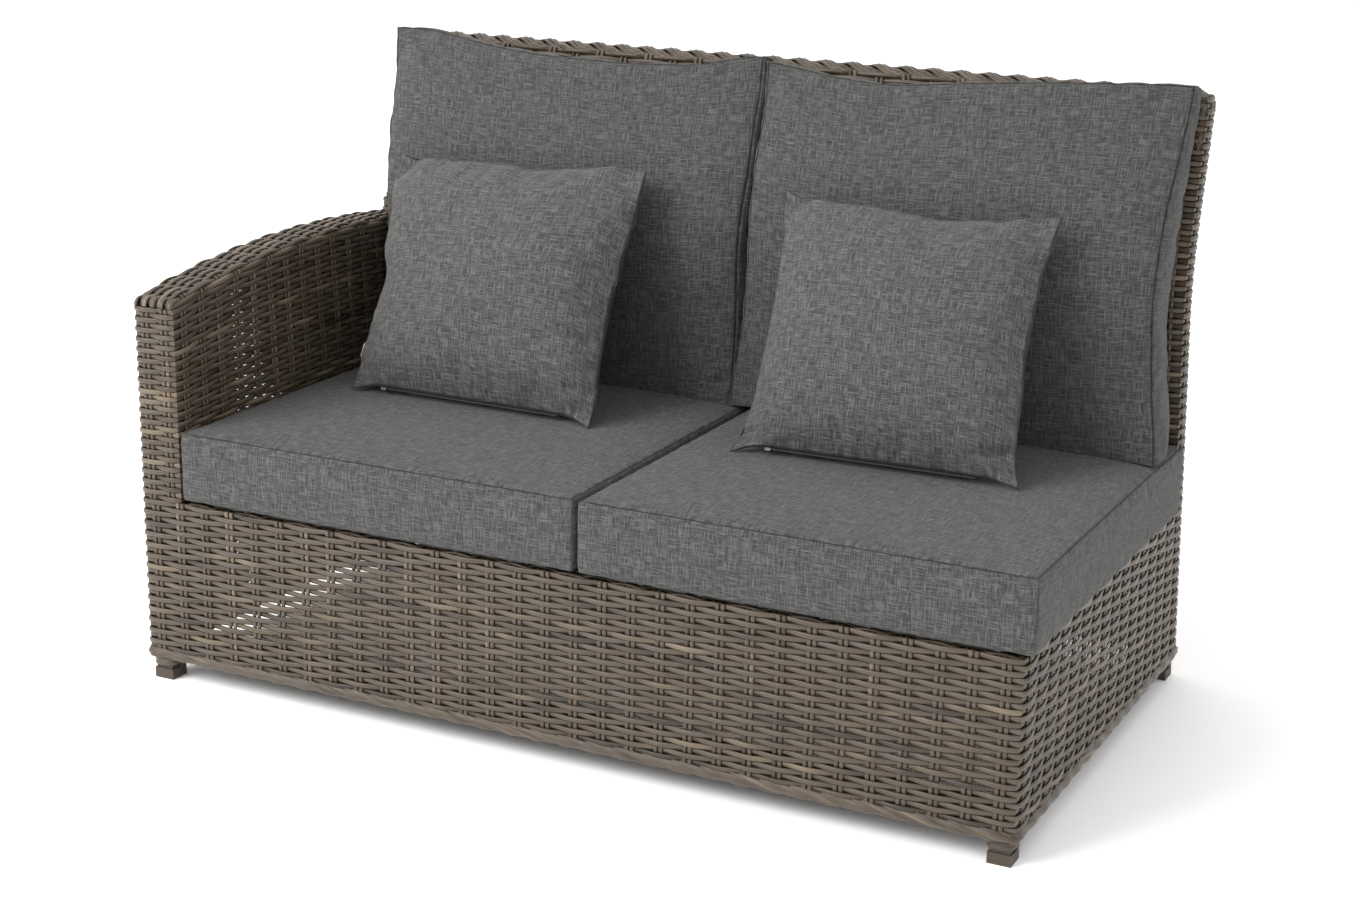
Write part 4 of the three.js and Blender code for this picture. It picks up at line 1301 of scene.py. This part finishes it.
def inflate(obj, seams, pressure, cap, slack):
    """Blows a cover up as cloth with a share of slack, held at its seams; no point moves past the cap."""
    scene = bpy.context.scene
    rest = mesh_points(obj.data)
    pins = obj.vertex_groups.new(name="seams")
    pins.add(np.flatnonzero(seams).tolist(), 1.0, "REPLACE")
    modifier = obj.modifiers.new("cloth", "CLOTH")
    cloth = modifier.settings
    for name, value in CLOTH.items():
        setattr(cloth, name, value)
    cloth.uniform_pressure_force = pressure
    cloth.shrink_min = -slack
    cloth.vertex_group_mass = pins.name
    cloth.effector_weights.gravity = 0
    modifier.collision_settings.use_collision = False
    modifier.point_cache.frame_start = 1
    modifier.point_cache.frame_end = BLOW_FRAMES
    for step in range(1, BLOW_FRAMES + 1):
        scene.frame_set(step)
    graph = bpy.context.evaluated_depsgraph_get()
    blown = mesh_points(obj.evaluated_get(graph).data)
    obj.modifiers.remove(modifier)
    obj.vertex_groups.remove(pins)
    scene.frame_set(1)
    move = blown - rest
    length = np.linalg.norm(move, axis=1)[:, None]
    set_points(obj, rest + move / np.sqrt(1 + (length / cap) ** 2))


def sink_seams(obj, shares, seams, depth):
    """Draws the seams in between their two panels, and keeps them sharp."""
    points = mesh_points(obj.data)
    normals = np.zeros(len(points) * 3)
    obj.data.vertices.foreach_get("normal", normals)
    set_points(obj, points - np.where(seams[:, None], normals.reshape(-1, 3) * depth, 0))
    ends = np.zeros(len(obj.data.edges) * 2, int)
    obj.data.edges.foreach_get("vertices", ends)
    first, second = ends.reshape(-1, 2).T
    same = np.abs(shares[first] - shares[second]) < SAME
    on_rim = (np.abs(shares[first]) > 1 - SAME) & same
    along_seam = seams[first] & seams[second] & on_rim[:, 2] & (on_rim[:, 0] | on_rim[:, 1])
    crease = obj.data.attributes.new("crease_edge", "FLOAT", "EDGE")
    crease.data.foreach_set("value", along_seam.astype(np.float32))


def subdivided(obj, name):
    """The cover with one subdivision, as a plain mesh."""
    modifier = obj.modifiers.new("smooth", "SUBSURF")
    modifier.levels = 1
    modifier.render_levels = 1
    return plain_mesh(obj, name)


def cushion_piece(name, size, cell, shape, place, blow, folds, seam_depth, painted_cushion_shade):
    """One cushion: its cut shape, its filling, its folds, its seams and its painted shade, laid where it
    belongs.
    """
    shares, faces, cloth = cover_grid(size, cell)
    seams = seam_points(shares)
    made = cover_object(name + "_cover", shape(shares), faces, cloth)
    # Each point carries its seam mask and the cushion's factor of painted shade, which both darken the cover's
    # colour
    for label, values in (("seam", seams), ("painted_cushion_shade", np.full(len(seams), painted_cushion_shade))):
        made.data.attributes.new(label, "FLOAT", "POINT").data.foreach_set("value", values.astype(np.float32))
    inflate(made, seams, **blow)
    set_points(made, creased(mesh_points(made.data), shares, folds))
    set_points(made, place(mesh_points(made.data)))
    sink_seams(made, shares, seams, seam_depth)
    made = subdivided(made, name + "_cover")
    place_piece(made, name, (name,))
    return made


class SOFA_OT_seat_cushions(bpy.types.Operator):
    """Sew and fill the two box seat cushions"""

    bl_idname = "sofa.seat_cushions"
    bl_label = "Seat Cushions"

    def execute(self, context):
        cushions = context.scene.sofa_cushions
        for side in ("left", "right"):
            low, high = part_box("seat_cushion_" + side)
            swell = 3 * MILLIMETRE
            # The lower seam stands a little over the deck, and the bottom sags onto it
            raised = 6 * MILLIMETRE
            form = {
                "width": high.x - low.x - 2 * swell,
                "height": high.y - low.y - 2 * swell,
                "thickness": cushions.seat_thickness - raised,
                "side_draw": MILLIMETRE, "end_draw": MILLIMETRE, "draw_power": 2,
                "corner_share": 0.004, "corner_power": 14,
                "swell": swell, "front_crown": cushions.seat_crown, "rear_crown": 4 * raised,
                "fullness": (4, 1), "lip": 2 * MILLIMETRE,
            }
            middle = np.array([
                (low.x + high.x) / 2, (low.y + high.y) / 2, low.z + (cushions.seat_thickness + raised) / 2])

            def shape(shares, form=form):
                return stuffed(shares, form)

            def place(points, low=low, middle=middle):
                moved = points + middle
                moved[:, 2] = np.maximum(moved[:, 2], low.z)
                return moved

            size = (form["width"], form["height"], form["thickness"])
            # The last number is the seat covers' painted shade
            cushion_piece(
                "seat_cushion_" + side, size, cushions.grid, shape, place,
                blow={"pressure": 2.0, "cap": 3.0 * MILLIMETRE, "slack": 0.012},
                folds=(), seam_depth=2.2 * MILLIMETRE, painted_cushion_shade=0.88)
        return {"FINISHED"}


# The gap between a back cushion's lower edge and the seat cushion
BACK_CLEARANCE = 0.3 * MILLIMETRE


def back_face_point(along, out):
    """Points out from the back's front face, at lengths measured up along that face, as depth and height."""
    shape = bpy.context.scene.sofa_shape
    inset = shape.back_thickness + MILLIMETRE
    radius = shape.knee_radius + inset
    centre = knee_centre()
    splay, recline = shape.leg_splay, shape.recline
    start = SEAT_TOP + BACK_CLEARANCE
    low = centre - rear_normal(splay) * radius
    straight = (low[1] - start) / math.cos(splay)
    bend = radius * (splay + recline)
    lean = np.clip(splay - (along - straight) / radius, -recline, splay)
    normal = np.stack([np.cos(lean), np.sin(lean)], axis=1)
    up = np.stack([-np.sin(lean), np.cos(lean)], axis=1)
    extra = np.minimum(along - straight, 0) + np.maximum(along - straight - bend, 0)
    return centre - normal * radius + up * extra[:, None] - normal * out[:, None]


# How far the seams of a back cushion stand out from the woven back, at shares of its height
BACK_FRONT_SEAM = (
    (0, 0.160), (0.05, 0.145), (0.18, 0.125), (0.33, 0.114), (0.5, 0.112), (0.68, 0.095), (0.8, 0.068),
    (0.9, 0.050), (1, 0.042))
BACK_REAR_SEAM = ((0, 0.095), (0.13, 0.050), (0.35, 0.038), (0.55, 0.020), (0.75, 0.013), (1, 0.004))
# How far each side seam stands to the right of its node's edge, at shares of the height: the corners flare
BACK_SIDES = {
    "left": {
        "left": ((0, 0.003), (0.4, 0.000), (0.62, -0.013), (0.79, -0.035), (0.92, -0.053), (1, -0.062)),
        "right": ((0, -0.017), (0.2, -0.013), (0.5, -0.011), (0.65, -0.009), (0.78, -0.021), (1, -0.034)),
    },
    "right": {
        "left": ((0, -0.022), (0.1, -0.023), (0.26, -0.010), (0.45, -0.001), (0.68, -0.010), (1, -0.033)),
        "right": ((0, 0.026), (0.1, 0.019), (0.2, 0.010), (0.4, 0.002), (0.7, 0.004), (1, 0.006)),
    },
}
# How far the top seam sags between the corners, from the left to the right
BACK_SAGS = {
    "left": ((-1, 0.003), (-0.78, 0.003), (-0.6, 0.013), (-0.42, 0.024), (-0.1, 0.034), (0.35, 0.036),
             (0.67, 0.029), (0.88, 0.012), (1, 0.003)),
    "right": ((-1, 0.012), (-0.85, 0.019), (-0.6, 0.032), (-0.35, 0.037), (0, 0.025), (0.35, 0.014),
              (0.6, 0.008), (0.82, 0.002), (1, 0)),
}
# Folds pressed into a front panel: from one share of it to another, how deep and how wide
BACK_FOLDS = {
    "left": (((0.90, -0.84), (0.97, -0.80), 0.010, 0.014), ((0.80, 0.97), (0.93, 0.80), 0.004, 0.016)),
    "right": (((-0.95, 0.97), (-0.84, 0.86), 0.005, 0.012), ((-0.96, -0.78), (-0.86, -0.84), 0.006, 0.014)),
}


def along_stops(value, stops):
    """A smooth reading of listed stops: the mean of three straight readings close together."""
    places, heights = zip(*stops)
    reach = 0.03 * (places[-1] - places[0])
    return sum(np.interp(value + shift, places, heights) for shift in (-reach, 0, reach)) / 3


# How a back cushion's filling stands out past its front seam: shares of its crown that are round and that
# stay flat to the seam, and how far the middle of its top swells
ROUND_CROWN = 0.55
FLAT_CROWN = 0.30
TOP_SWELL = 0.030
# How far its border bulges, and the share of that by which its top rises
BORDER_SWELL = 4.5 * MILLIMETRE
TOP_RISE = 0.4
# The share of the rear seam's reach that is left in the middle of the rear panel
REAR_REACH = 0.2


def back_shape(shares, side, low, high, height):
    """A back cushion's cut shape as width, length up the back and reach out from it."""
    cushions = bpy.context.scene.sofa_cushions
    u, v, w = shares.T
    up = (v + 1) / 2
    left = low.x + along_stops(up, BACK_SIDES[side]["left"])
    right = high.x + along_stops(up, BACK_SIDES[side]["right"])
    x = left + (right - left) * (u + 1) / 2
    sag = along_stops(u, BACK_SAGS[side])
    along = up * (height - sag * up)
    rounded = np.maximum((1 - u * u) * (1 - v * v), 0)
    flat = 1 - np.maximum(np.abs(u), np.abs(v)) ** 6
    crown = cushions.back_crown * (ROUND_CROWN * rounded + FLAT_CROWN * flat)
    front = along_stops(up, BACK_FRONT_SEAM) + (1 - u * u) * TOP_SWELL * up ** 4 + crown
    rear = along_stops(up, BACK_REAR_SEAM) * (REAR_REACH + (1 - REAR_REACH) * np.abs(u) ** 5)
    out = rear + (front - rear) * (w + 1) / 2
    swell = BORDER_SWELL * (1 - w ** 12)
    x = x + np.where(np.abs(u) > 1 - SAME, np.sign(u) * swell, 0)
    along = along + np.where(v > 1 - SAME, TOP_RISE * swell, 0)
    return np.stack([x, along, out], axis=1)


class SOFA_OT_back_cushions(bpy.types.Operator):
    """Sew and fill the two box back cushions and lay them on the curve of the back"""

    bl_idname = "sofa.back_cushions"
    bl_label = "Back Cushions"

    def execute(self, context):
        cushions = context.scene.sofa_cushions
        height = BACK_TOP - SEAT_TOP + cushions.back_rise
        for side in ("left", "right"):
            low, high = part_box("back_cushion_" + side)

            def shape(shares, side=side, low=low, high=high):
                return back_shape(shares, side, low, high, height)

            def place(points):
                side_view = back_face_point(points[:, 1], np.maximum(points[:, 2], 0))
                level = np.maximum(side_view[:, 1], SEAT_TOP - 3 * MILLIMETRE)
                return np.stack([points[:, 0], side_view[:, 0], level], axis=1)

            size = (high.x - low.x, height, cushions.back_thickness)
            # The last number is the back covers' painted shade, the darkest
            cushion_piece(
                "back_cushion_" + side, size, cushions.grid, shape, place,
                blow={"pressure": 3.0, "cap": 5.0 * MILLIMETRE, "slack": 0.02},
                folds=BACK_FOLDS[side], seam_depth=2.8 * MILLIMETRE, painted_cushion_shade=0.80)
        return {"FINISHED"}


# How far each scatter cushion is turned on the seat
SCATTER_TURNS = {"left": math.radians(-1), "right": math.radians(2)}
# Where each seam of a scatter cushion runs: the sides from its middle at shares of its height, the lower and
# upper ones up from the line that it stands on at shares from its left to its right
SCATTER_SEAMS = {
    "left": {
        "left": ((0, -0.217), (0.35, -0.217), (0.48, -0.213), (0.56, -0.229), (0.82, -0.245), (1, -0.254)),
        "right": ((0, 0.226), (0.08, 0.226), (0.3, 0.213), (0.53, 0.206), (0.85, 0.209), (1, 0.207)),
        "bottom": ((-1, 0.003), (-0.93, 0.007), (-0.84, 0.0155), (0.84, 0.0155), (0.93, 0.005), (1, -0.003)),
        "top": ((-1, 0.419), (-0.88, 0.404), (-0.75, 0.411), (0, 0.415), (0.08, 0.408), (0.7, 0.427),
                (1, 0.427)),
    },
    "right": {
        "left": ((0, -0.221), (0.06, -0.206), (0.2, -0.198), (0.6, -0.202), (0.85, -0.210), (1, -0.226)),
        "right": ((0, 0.233), (0.1, 0.217), (0.32, 0.210), (0.5, 0.202), (0.8, 0.203), (1, 0.215)),
        "bottom": ((-1, -0.002), (-0.93, 0.005), (-0.84, 0.0155), (0.84, 0.0155), (0.93, 0.008), (1, 0.004)),
        "top": ((-1, 0.428), (-0.9, 0.410), (-0.33, 0.408), (0.05, 0.400), (0.15, 0.396), (0.65, 0.406),
                (1, 0.420)),
    },
}
# How far the rear panel sags onto the seat, at lengths up from the lower seam, which stands over the zip
SCATTER_SAG = (
    (0, 0), (0.003, 0.002), (0.007, 0.013), (0.016, 0.015), (0.024, 0.014), (0.033, 0.010), (0.050, 0.005),
    (0.080, 0))
# Folds pressed into a scatter cushion's front panel, written as for the back cushions
SCATTER_FOLDS = {
    "left": (
        ((0.70, 0.30), (0.93, 0.14), 0.011, 0.020), ((0.76, -0.82), (0.98, -0.74), 0.013, 0.010),
        ((0.86, -0.96), (0.99, -0.90), 0.007, 0.008), ((-0.86, 1.0), (-0.93, 0.86), 0.009, 0.010),
        ((0.55, 0.66), (0.90, 0.55), 0.007, 0.026), ((0.60, -0.45), (0.92, -0.40), 0.006, 0.020),
        ((-0.60, 0.96), (-0.20, 0.90), 0.004, 0.016), ((-0.97, -0.80), (-0.84, -0.90), 0.008, 0.010)),
    "right": (
        ((0.78, 0.72), (0.96, 0.62), 0.012, 0.013), ((0.72, -0.86), (0.96, -0.78), 0.014, 0.010),
        ((0.84, -0.95), (0.98, -0.88), 0.008, 0.008), ((-0.97, -0.84), (-0.86, -0.92), 0.011, 0.012),
        ((0.66, -0.10), (0.93, -0.18), 0.007, 0.022), ((-0.94, 0.90), (-0.80, 0.97), 0.007, 0.011),
        ((0.58, 0.34), (0.90, 0.42), 0.005, 0.024)),
}


# A scatter cushion's gap between its two panels at the seam, how full its panels are, and the lumps of its
# filling: waves each way, the step from one wave's pace to the next, and the highest lump
SCATTER_GAP = 2.4 * MILLIMETRE
SCATTER_FULLNESS = 0.55
LUMP_WAVES = 4
LUMP_PACE = 1.9
LUMP_HEIGHT = 1.8 * MILLIMETRE
# A scatter cushion's cells are this much smaller than those of the others
SCATTER_CELL = 0.8


def scatter_stand(side):
    """The matrix from a scatter cushion's own upright place to where it leans."""
    cushions = bpy.context.scene.sofa_cushions
    shape = bpy.context.scene.sofa_shape
    zip_low, zip_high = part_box("zip_" + side)
    x = (zip_low.x + zip_high.x) / 2
    y = float(rear_y(shape.back_thickness, SEAT_TOP)) - cushions.scatter_forward
    turn = Matrix.Rotation(SCATTER_TURNS[side], 4, "Z")
    lean = Matrix.Rotation(-cushions.scatter_lean, 4, "X")
    return Matrix.Translation((x, y, SEAT_TOP + MILLIMETRE)) @ turn @ lean


class SOFA_OT_scatter_cushions(bpy.types.Operator):
    """Sew and fill the two scatter cushions"""

    bl_idname = "sofa.scatter_cushions"
    bl_label = "Scatter Cushions"

    def execute(self, context):
        cushions = context.scene.sofa_cushions
        for seed, side in enumerate(("left", "right")):
            stand = np.array(scatter_stand(side))

            def shape(shares, seed=seed, seams=SCATTER_SEAMS[side]):
                u, v, w = shares.T
                left, right = (along_stops((v + 1) / 2, seams[name]) for name in ("left", "right"))
                bottom, top = (along_stops(u, seams[name]) for name in ("bottom", "top"))
                spread = np.maximum((1 - u * u) * (1 - v * v), 0)
                out = SCATTER_GAP / 2 + cushions.scatter_crown * spread ** SCATTER_FULLNESS
                lumps = np.random.default_rng(seed).uniform(-1, 1, (LUMP_WAVES, LUMP_WAVES))
                for (row, column), lump in np.ndenumerate(lumps):
                    wave_x = np.cos((row + 1) * LUMP_PACE * u + column)
                    wave_y = np.cos((column + 1) * LUMP_PACE * v + row)
                    out += lump * wave_x * wave_y * spread * LUMP_HEIGHT
                lengths, sags = zip(*SCATTER_SAG)
                sag = np.interp((v + 1) / 2 * cushions.scatter_height, lengths, sags) * (1 - u ** 6)
                x = left + (right - left) * (u + 1) / 2
                y = bottom + (top - bottom) * (v + 1) / 2 - sag * (w < 0)
                return np.stack([x, y, w * out], axis=1)

            def place(points, stand=stand):
                upright = np.stack([points[:, 0], -points[:, 2], points[:, 1]], axis=1)
                moved = upright @ stand[:3, :3].T + stand[:3, 3]
                moved[:, 2] = np.maximum(moved[:, 2], SEAT_TOP - 2 * MILLIMETRE)
                return moved

            size = (cushions.scatter_width, cushions.scatter_height, SCATTER_GAP)
            # The last number leaves the scatter covers without painted shade
            cushion_piece(
                "scatter_cushion_" + side, size, cushions.grid * SCATTER_CELL, shape, place,
                blow={"pressure": 4.0, "cap": 9.0 * MILLIMETRE, "slack": 0.035},
                folds=SCATTER_FOLDS[side], seam_depth=0.4 * MILLIMETRE, painted_cushion_shade=1.0)
        return {"FINISHED"}


class SOFA_OT_trims(bpy.types.Operator):
    """Finish the zips, their sliders and the blank label"""

    bl_idname = "sofa.trims"
    bl_label = "Zips and Label"

    def execute(self, context):
        for side in ("left", "right"):
            dress(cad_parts["zip_" + side], "tape")
            dress(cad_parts["zip_slider_" + side], "zip_metal")
        dress(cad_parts["sewn_label"], "label")
        return {"FINISHED"}


class SOFA_OT_stage(bpy.types.Operator):
    """Set up the pale floor, the soft light and the camera"""

    bl_idname = "sofa.stage"
    bl_label = "Stage"

    def execute(self, context):
        stage = context.scene.sofa_stage
        context.scene.view_settings.view_transform = "Standard"
        self.place_camera(context, stage)
        self.light(context, stage)
        self.lay_floor(stage)
        return {"FINISHED"}

    def place_camera(self, context, stage):
        """The camera looks the way the yaw, pitch and roll say."""
        data = bpy.data.cameras.new("camera")
        data.lens = stage.lens
        data.sensor_width = SENSOR_WIDTH
        camera = bpy.data.objects.new("camera", data)
        turn = Matrix.Rotation(stage.camera_yaw, 4, "Z")
        tilt = Matrix.Rotation(math.pi / 2 - stage.camera_pitch, 4, "X")
        roll = Matrix.Rotation(stage.camera_roll, 4, "Z")
        camera.matrix_world = Matrix.Translation(stage.camera_place) @ turn @ tilt @ roll
        context.scene.collection.objects.link(camera)
        context.scene.camera = camera

    def light(self, context, stage):
        """An even sky, white to the camera, and one large soft lamp at the front left."""
        world = bpy.data.worlds.new("studio")
        context.scene.world = world
        world.use_nodes = True
        tree = world.node_tree
        tree.nodes.clear()
        strength = add_node(tree, "ShaderNodeMapRange", inputs={
            "Value": self.seen(tree), "To Min": stage.sky_strength, "To Max": 1.0})
        glow = add_node(tree, "ShaderNodeBackground", inputs={
            "Color": (1.0, 1.0, 1.0, 1.0), "Strength": strength.outputs["Result"]})
        add_node(tree, "ShaderNodeOutputWorld", inputs={"Surface": glow.outputs["Background"]})
        lamp = bpy.data.lights.new("key", "AREA")
        lamp.shape = "RECTANGLE"
        lamp.size, lamp.size_y = LAMP_SIZE
        lamp.energy = stage.key_watts
        key = bpy.data.objects.new("key", lamp)
        key.location = LAMP_PLACE
        key.rotation_euler = (Vector(LAMP_AIM) - key.location).to_track_quat("-Z", "Y").to_euler()
        context.scene.collection.objects.link(key)

    def seen(self, tree):
        """1 for what the camera, a gloss or a clear surface sees, and 0 for light on the object."""
        path = add_node(tree, "ShaderNodeLightPath")
        value = path.outputs["Is Camera Ray"]
        for name in ("Is Glossy Ray", "Is Transmission Ray"):
            value = add_node(tree, "ShaderNodeMath", {"operation": "MAXIMUM"}, {
                0: value, 1: path.outputs[name]}).outputs["Value"]
        return value

    def lay_floor(self, stage):
        """A plain white floor that keeps the shadow."""
        half = FLOOR_HALF
        points = [(-half, -half, 0), (half, -half, 0), (half, half, 0), (-half, half, 0)]
        made, tree = new_material("white_studio_floor")
        lift = add_node(tree, "ShaderNodeMapRange", inputs={
            "Value": self.seen(tree), "To Min": 1.0, "To Max": stage.floor_lift})
        white = add_node(tree, "ShaderNodeVectorMath", {"operation": "SCALE"}, {
            0: linear_colour("f8f8f8"), "Scale": lift.outputs["Result"]})
        paper = add_node(tree, "ShaderNodeBsdfDiffuse", inputs={"Color": white.outputs["Vector"]})
        add_node(tree, "ShaderNodeOutputMaterial", inputs={"Surface": paper.outputs["BSDF"]})
        floor = smooth_mesh("floor", points, [(0, 1, 2, 3)], made)
        bpy.context.scene.collection.objects.link(floor)


class SOFA_PT_panel(bpy.types.Panel):
    """Lists the sofa's pieces in the sidebar"""

    bl_idname = "SOFA_PT_panel"
    bl_label = "Garden Sofa"
    bl_space_type = "VIEW_3D"
    bl_region_type = "UI"
    bl_category = "Garden Sofa"

    def draw(self, context):
        for operator in OPERATORS:
            self.layout.operator(operator.bl_idname)
        for label in ("sofa_shape", "sofa_weave", "sofa_cushions", "sofa_stage"):
            group = getattr(context.scene, label)
            box = self.layout.box()
            for name in group.bl_rna.properties.keys():
                if name not in ("rna_type", "name"):
                    box.prop(group, name)


GROUPS = {
    "sofa_shape": SofaShape,
    "sofa_weave": SofaWeave,
    "sofa_cushions": SofaCushions,
    "sofa_stage": SofaStage,
}
OPERATORS = (
    SOFA_OT_stage,
    SOFA_OT_woven_base,
    SOFA_OT_woven_arm,
    SOFA_OT_woven_back,
    SOFA_OT_woven_deck,
    SOFA_OT_woven_borders,
    SOFA_OT_feet,
    SOFA_OT_seat_cushions,
    SOFA_OT_back_cushions,
    SOFA_OT_scatter_cushions,
    SOFA_OT_trims,
)


def register():
    """Registers the classes and hangs the settings on the scene."""
    for label, group in GROUPS.items():
        bpy.utils.register_class(group)
        setattr(bpy.types.Scene, label, PointerProperty(type=group))
    for operator in OPERATORS:
        bpy.utils.register_class(operator)
    bpy.utils.register_class(SOFA_PT_panel)


def unregister():
    """Takes the settings off the scene and unregisters the classes."""
    bpy.utils.unregister_class(SOFA_PT_panel)
    for operator in reversed(OPERATORS):
        bpy.utils.unregister_class(operator)
    for label, group in reversed(GROUPS.items()):
        delattr(bpy.types.Scene, label)
        bpy.utils.unregister_class(group)


def main():
    """Builds every piece in order."""
    register()
    for operator in OPERATORS:
        family, name = operator.bl_idname.split(".")
        getattr(getattr(bpy.ops, family), name)()


if __name__ == "__main__":
    main()
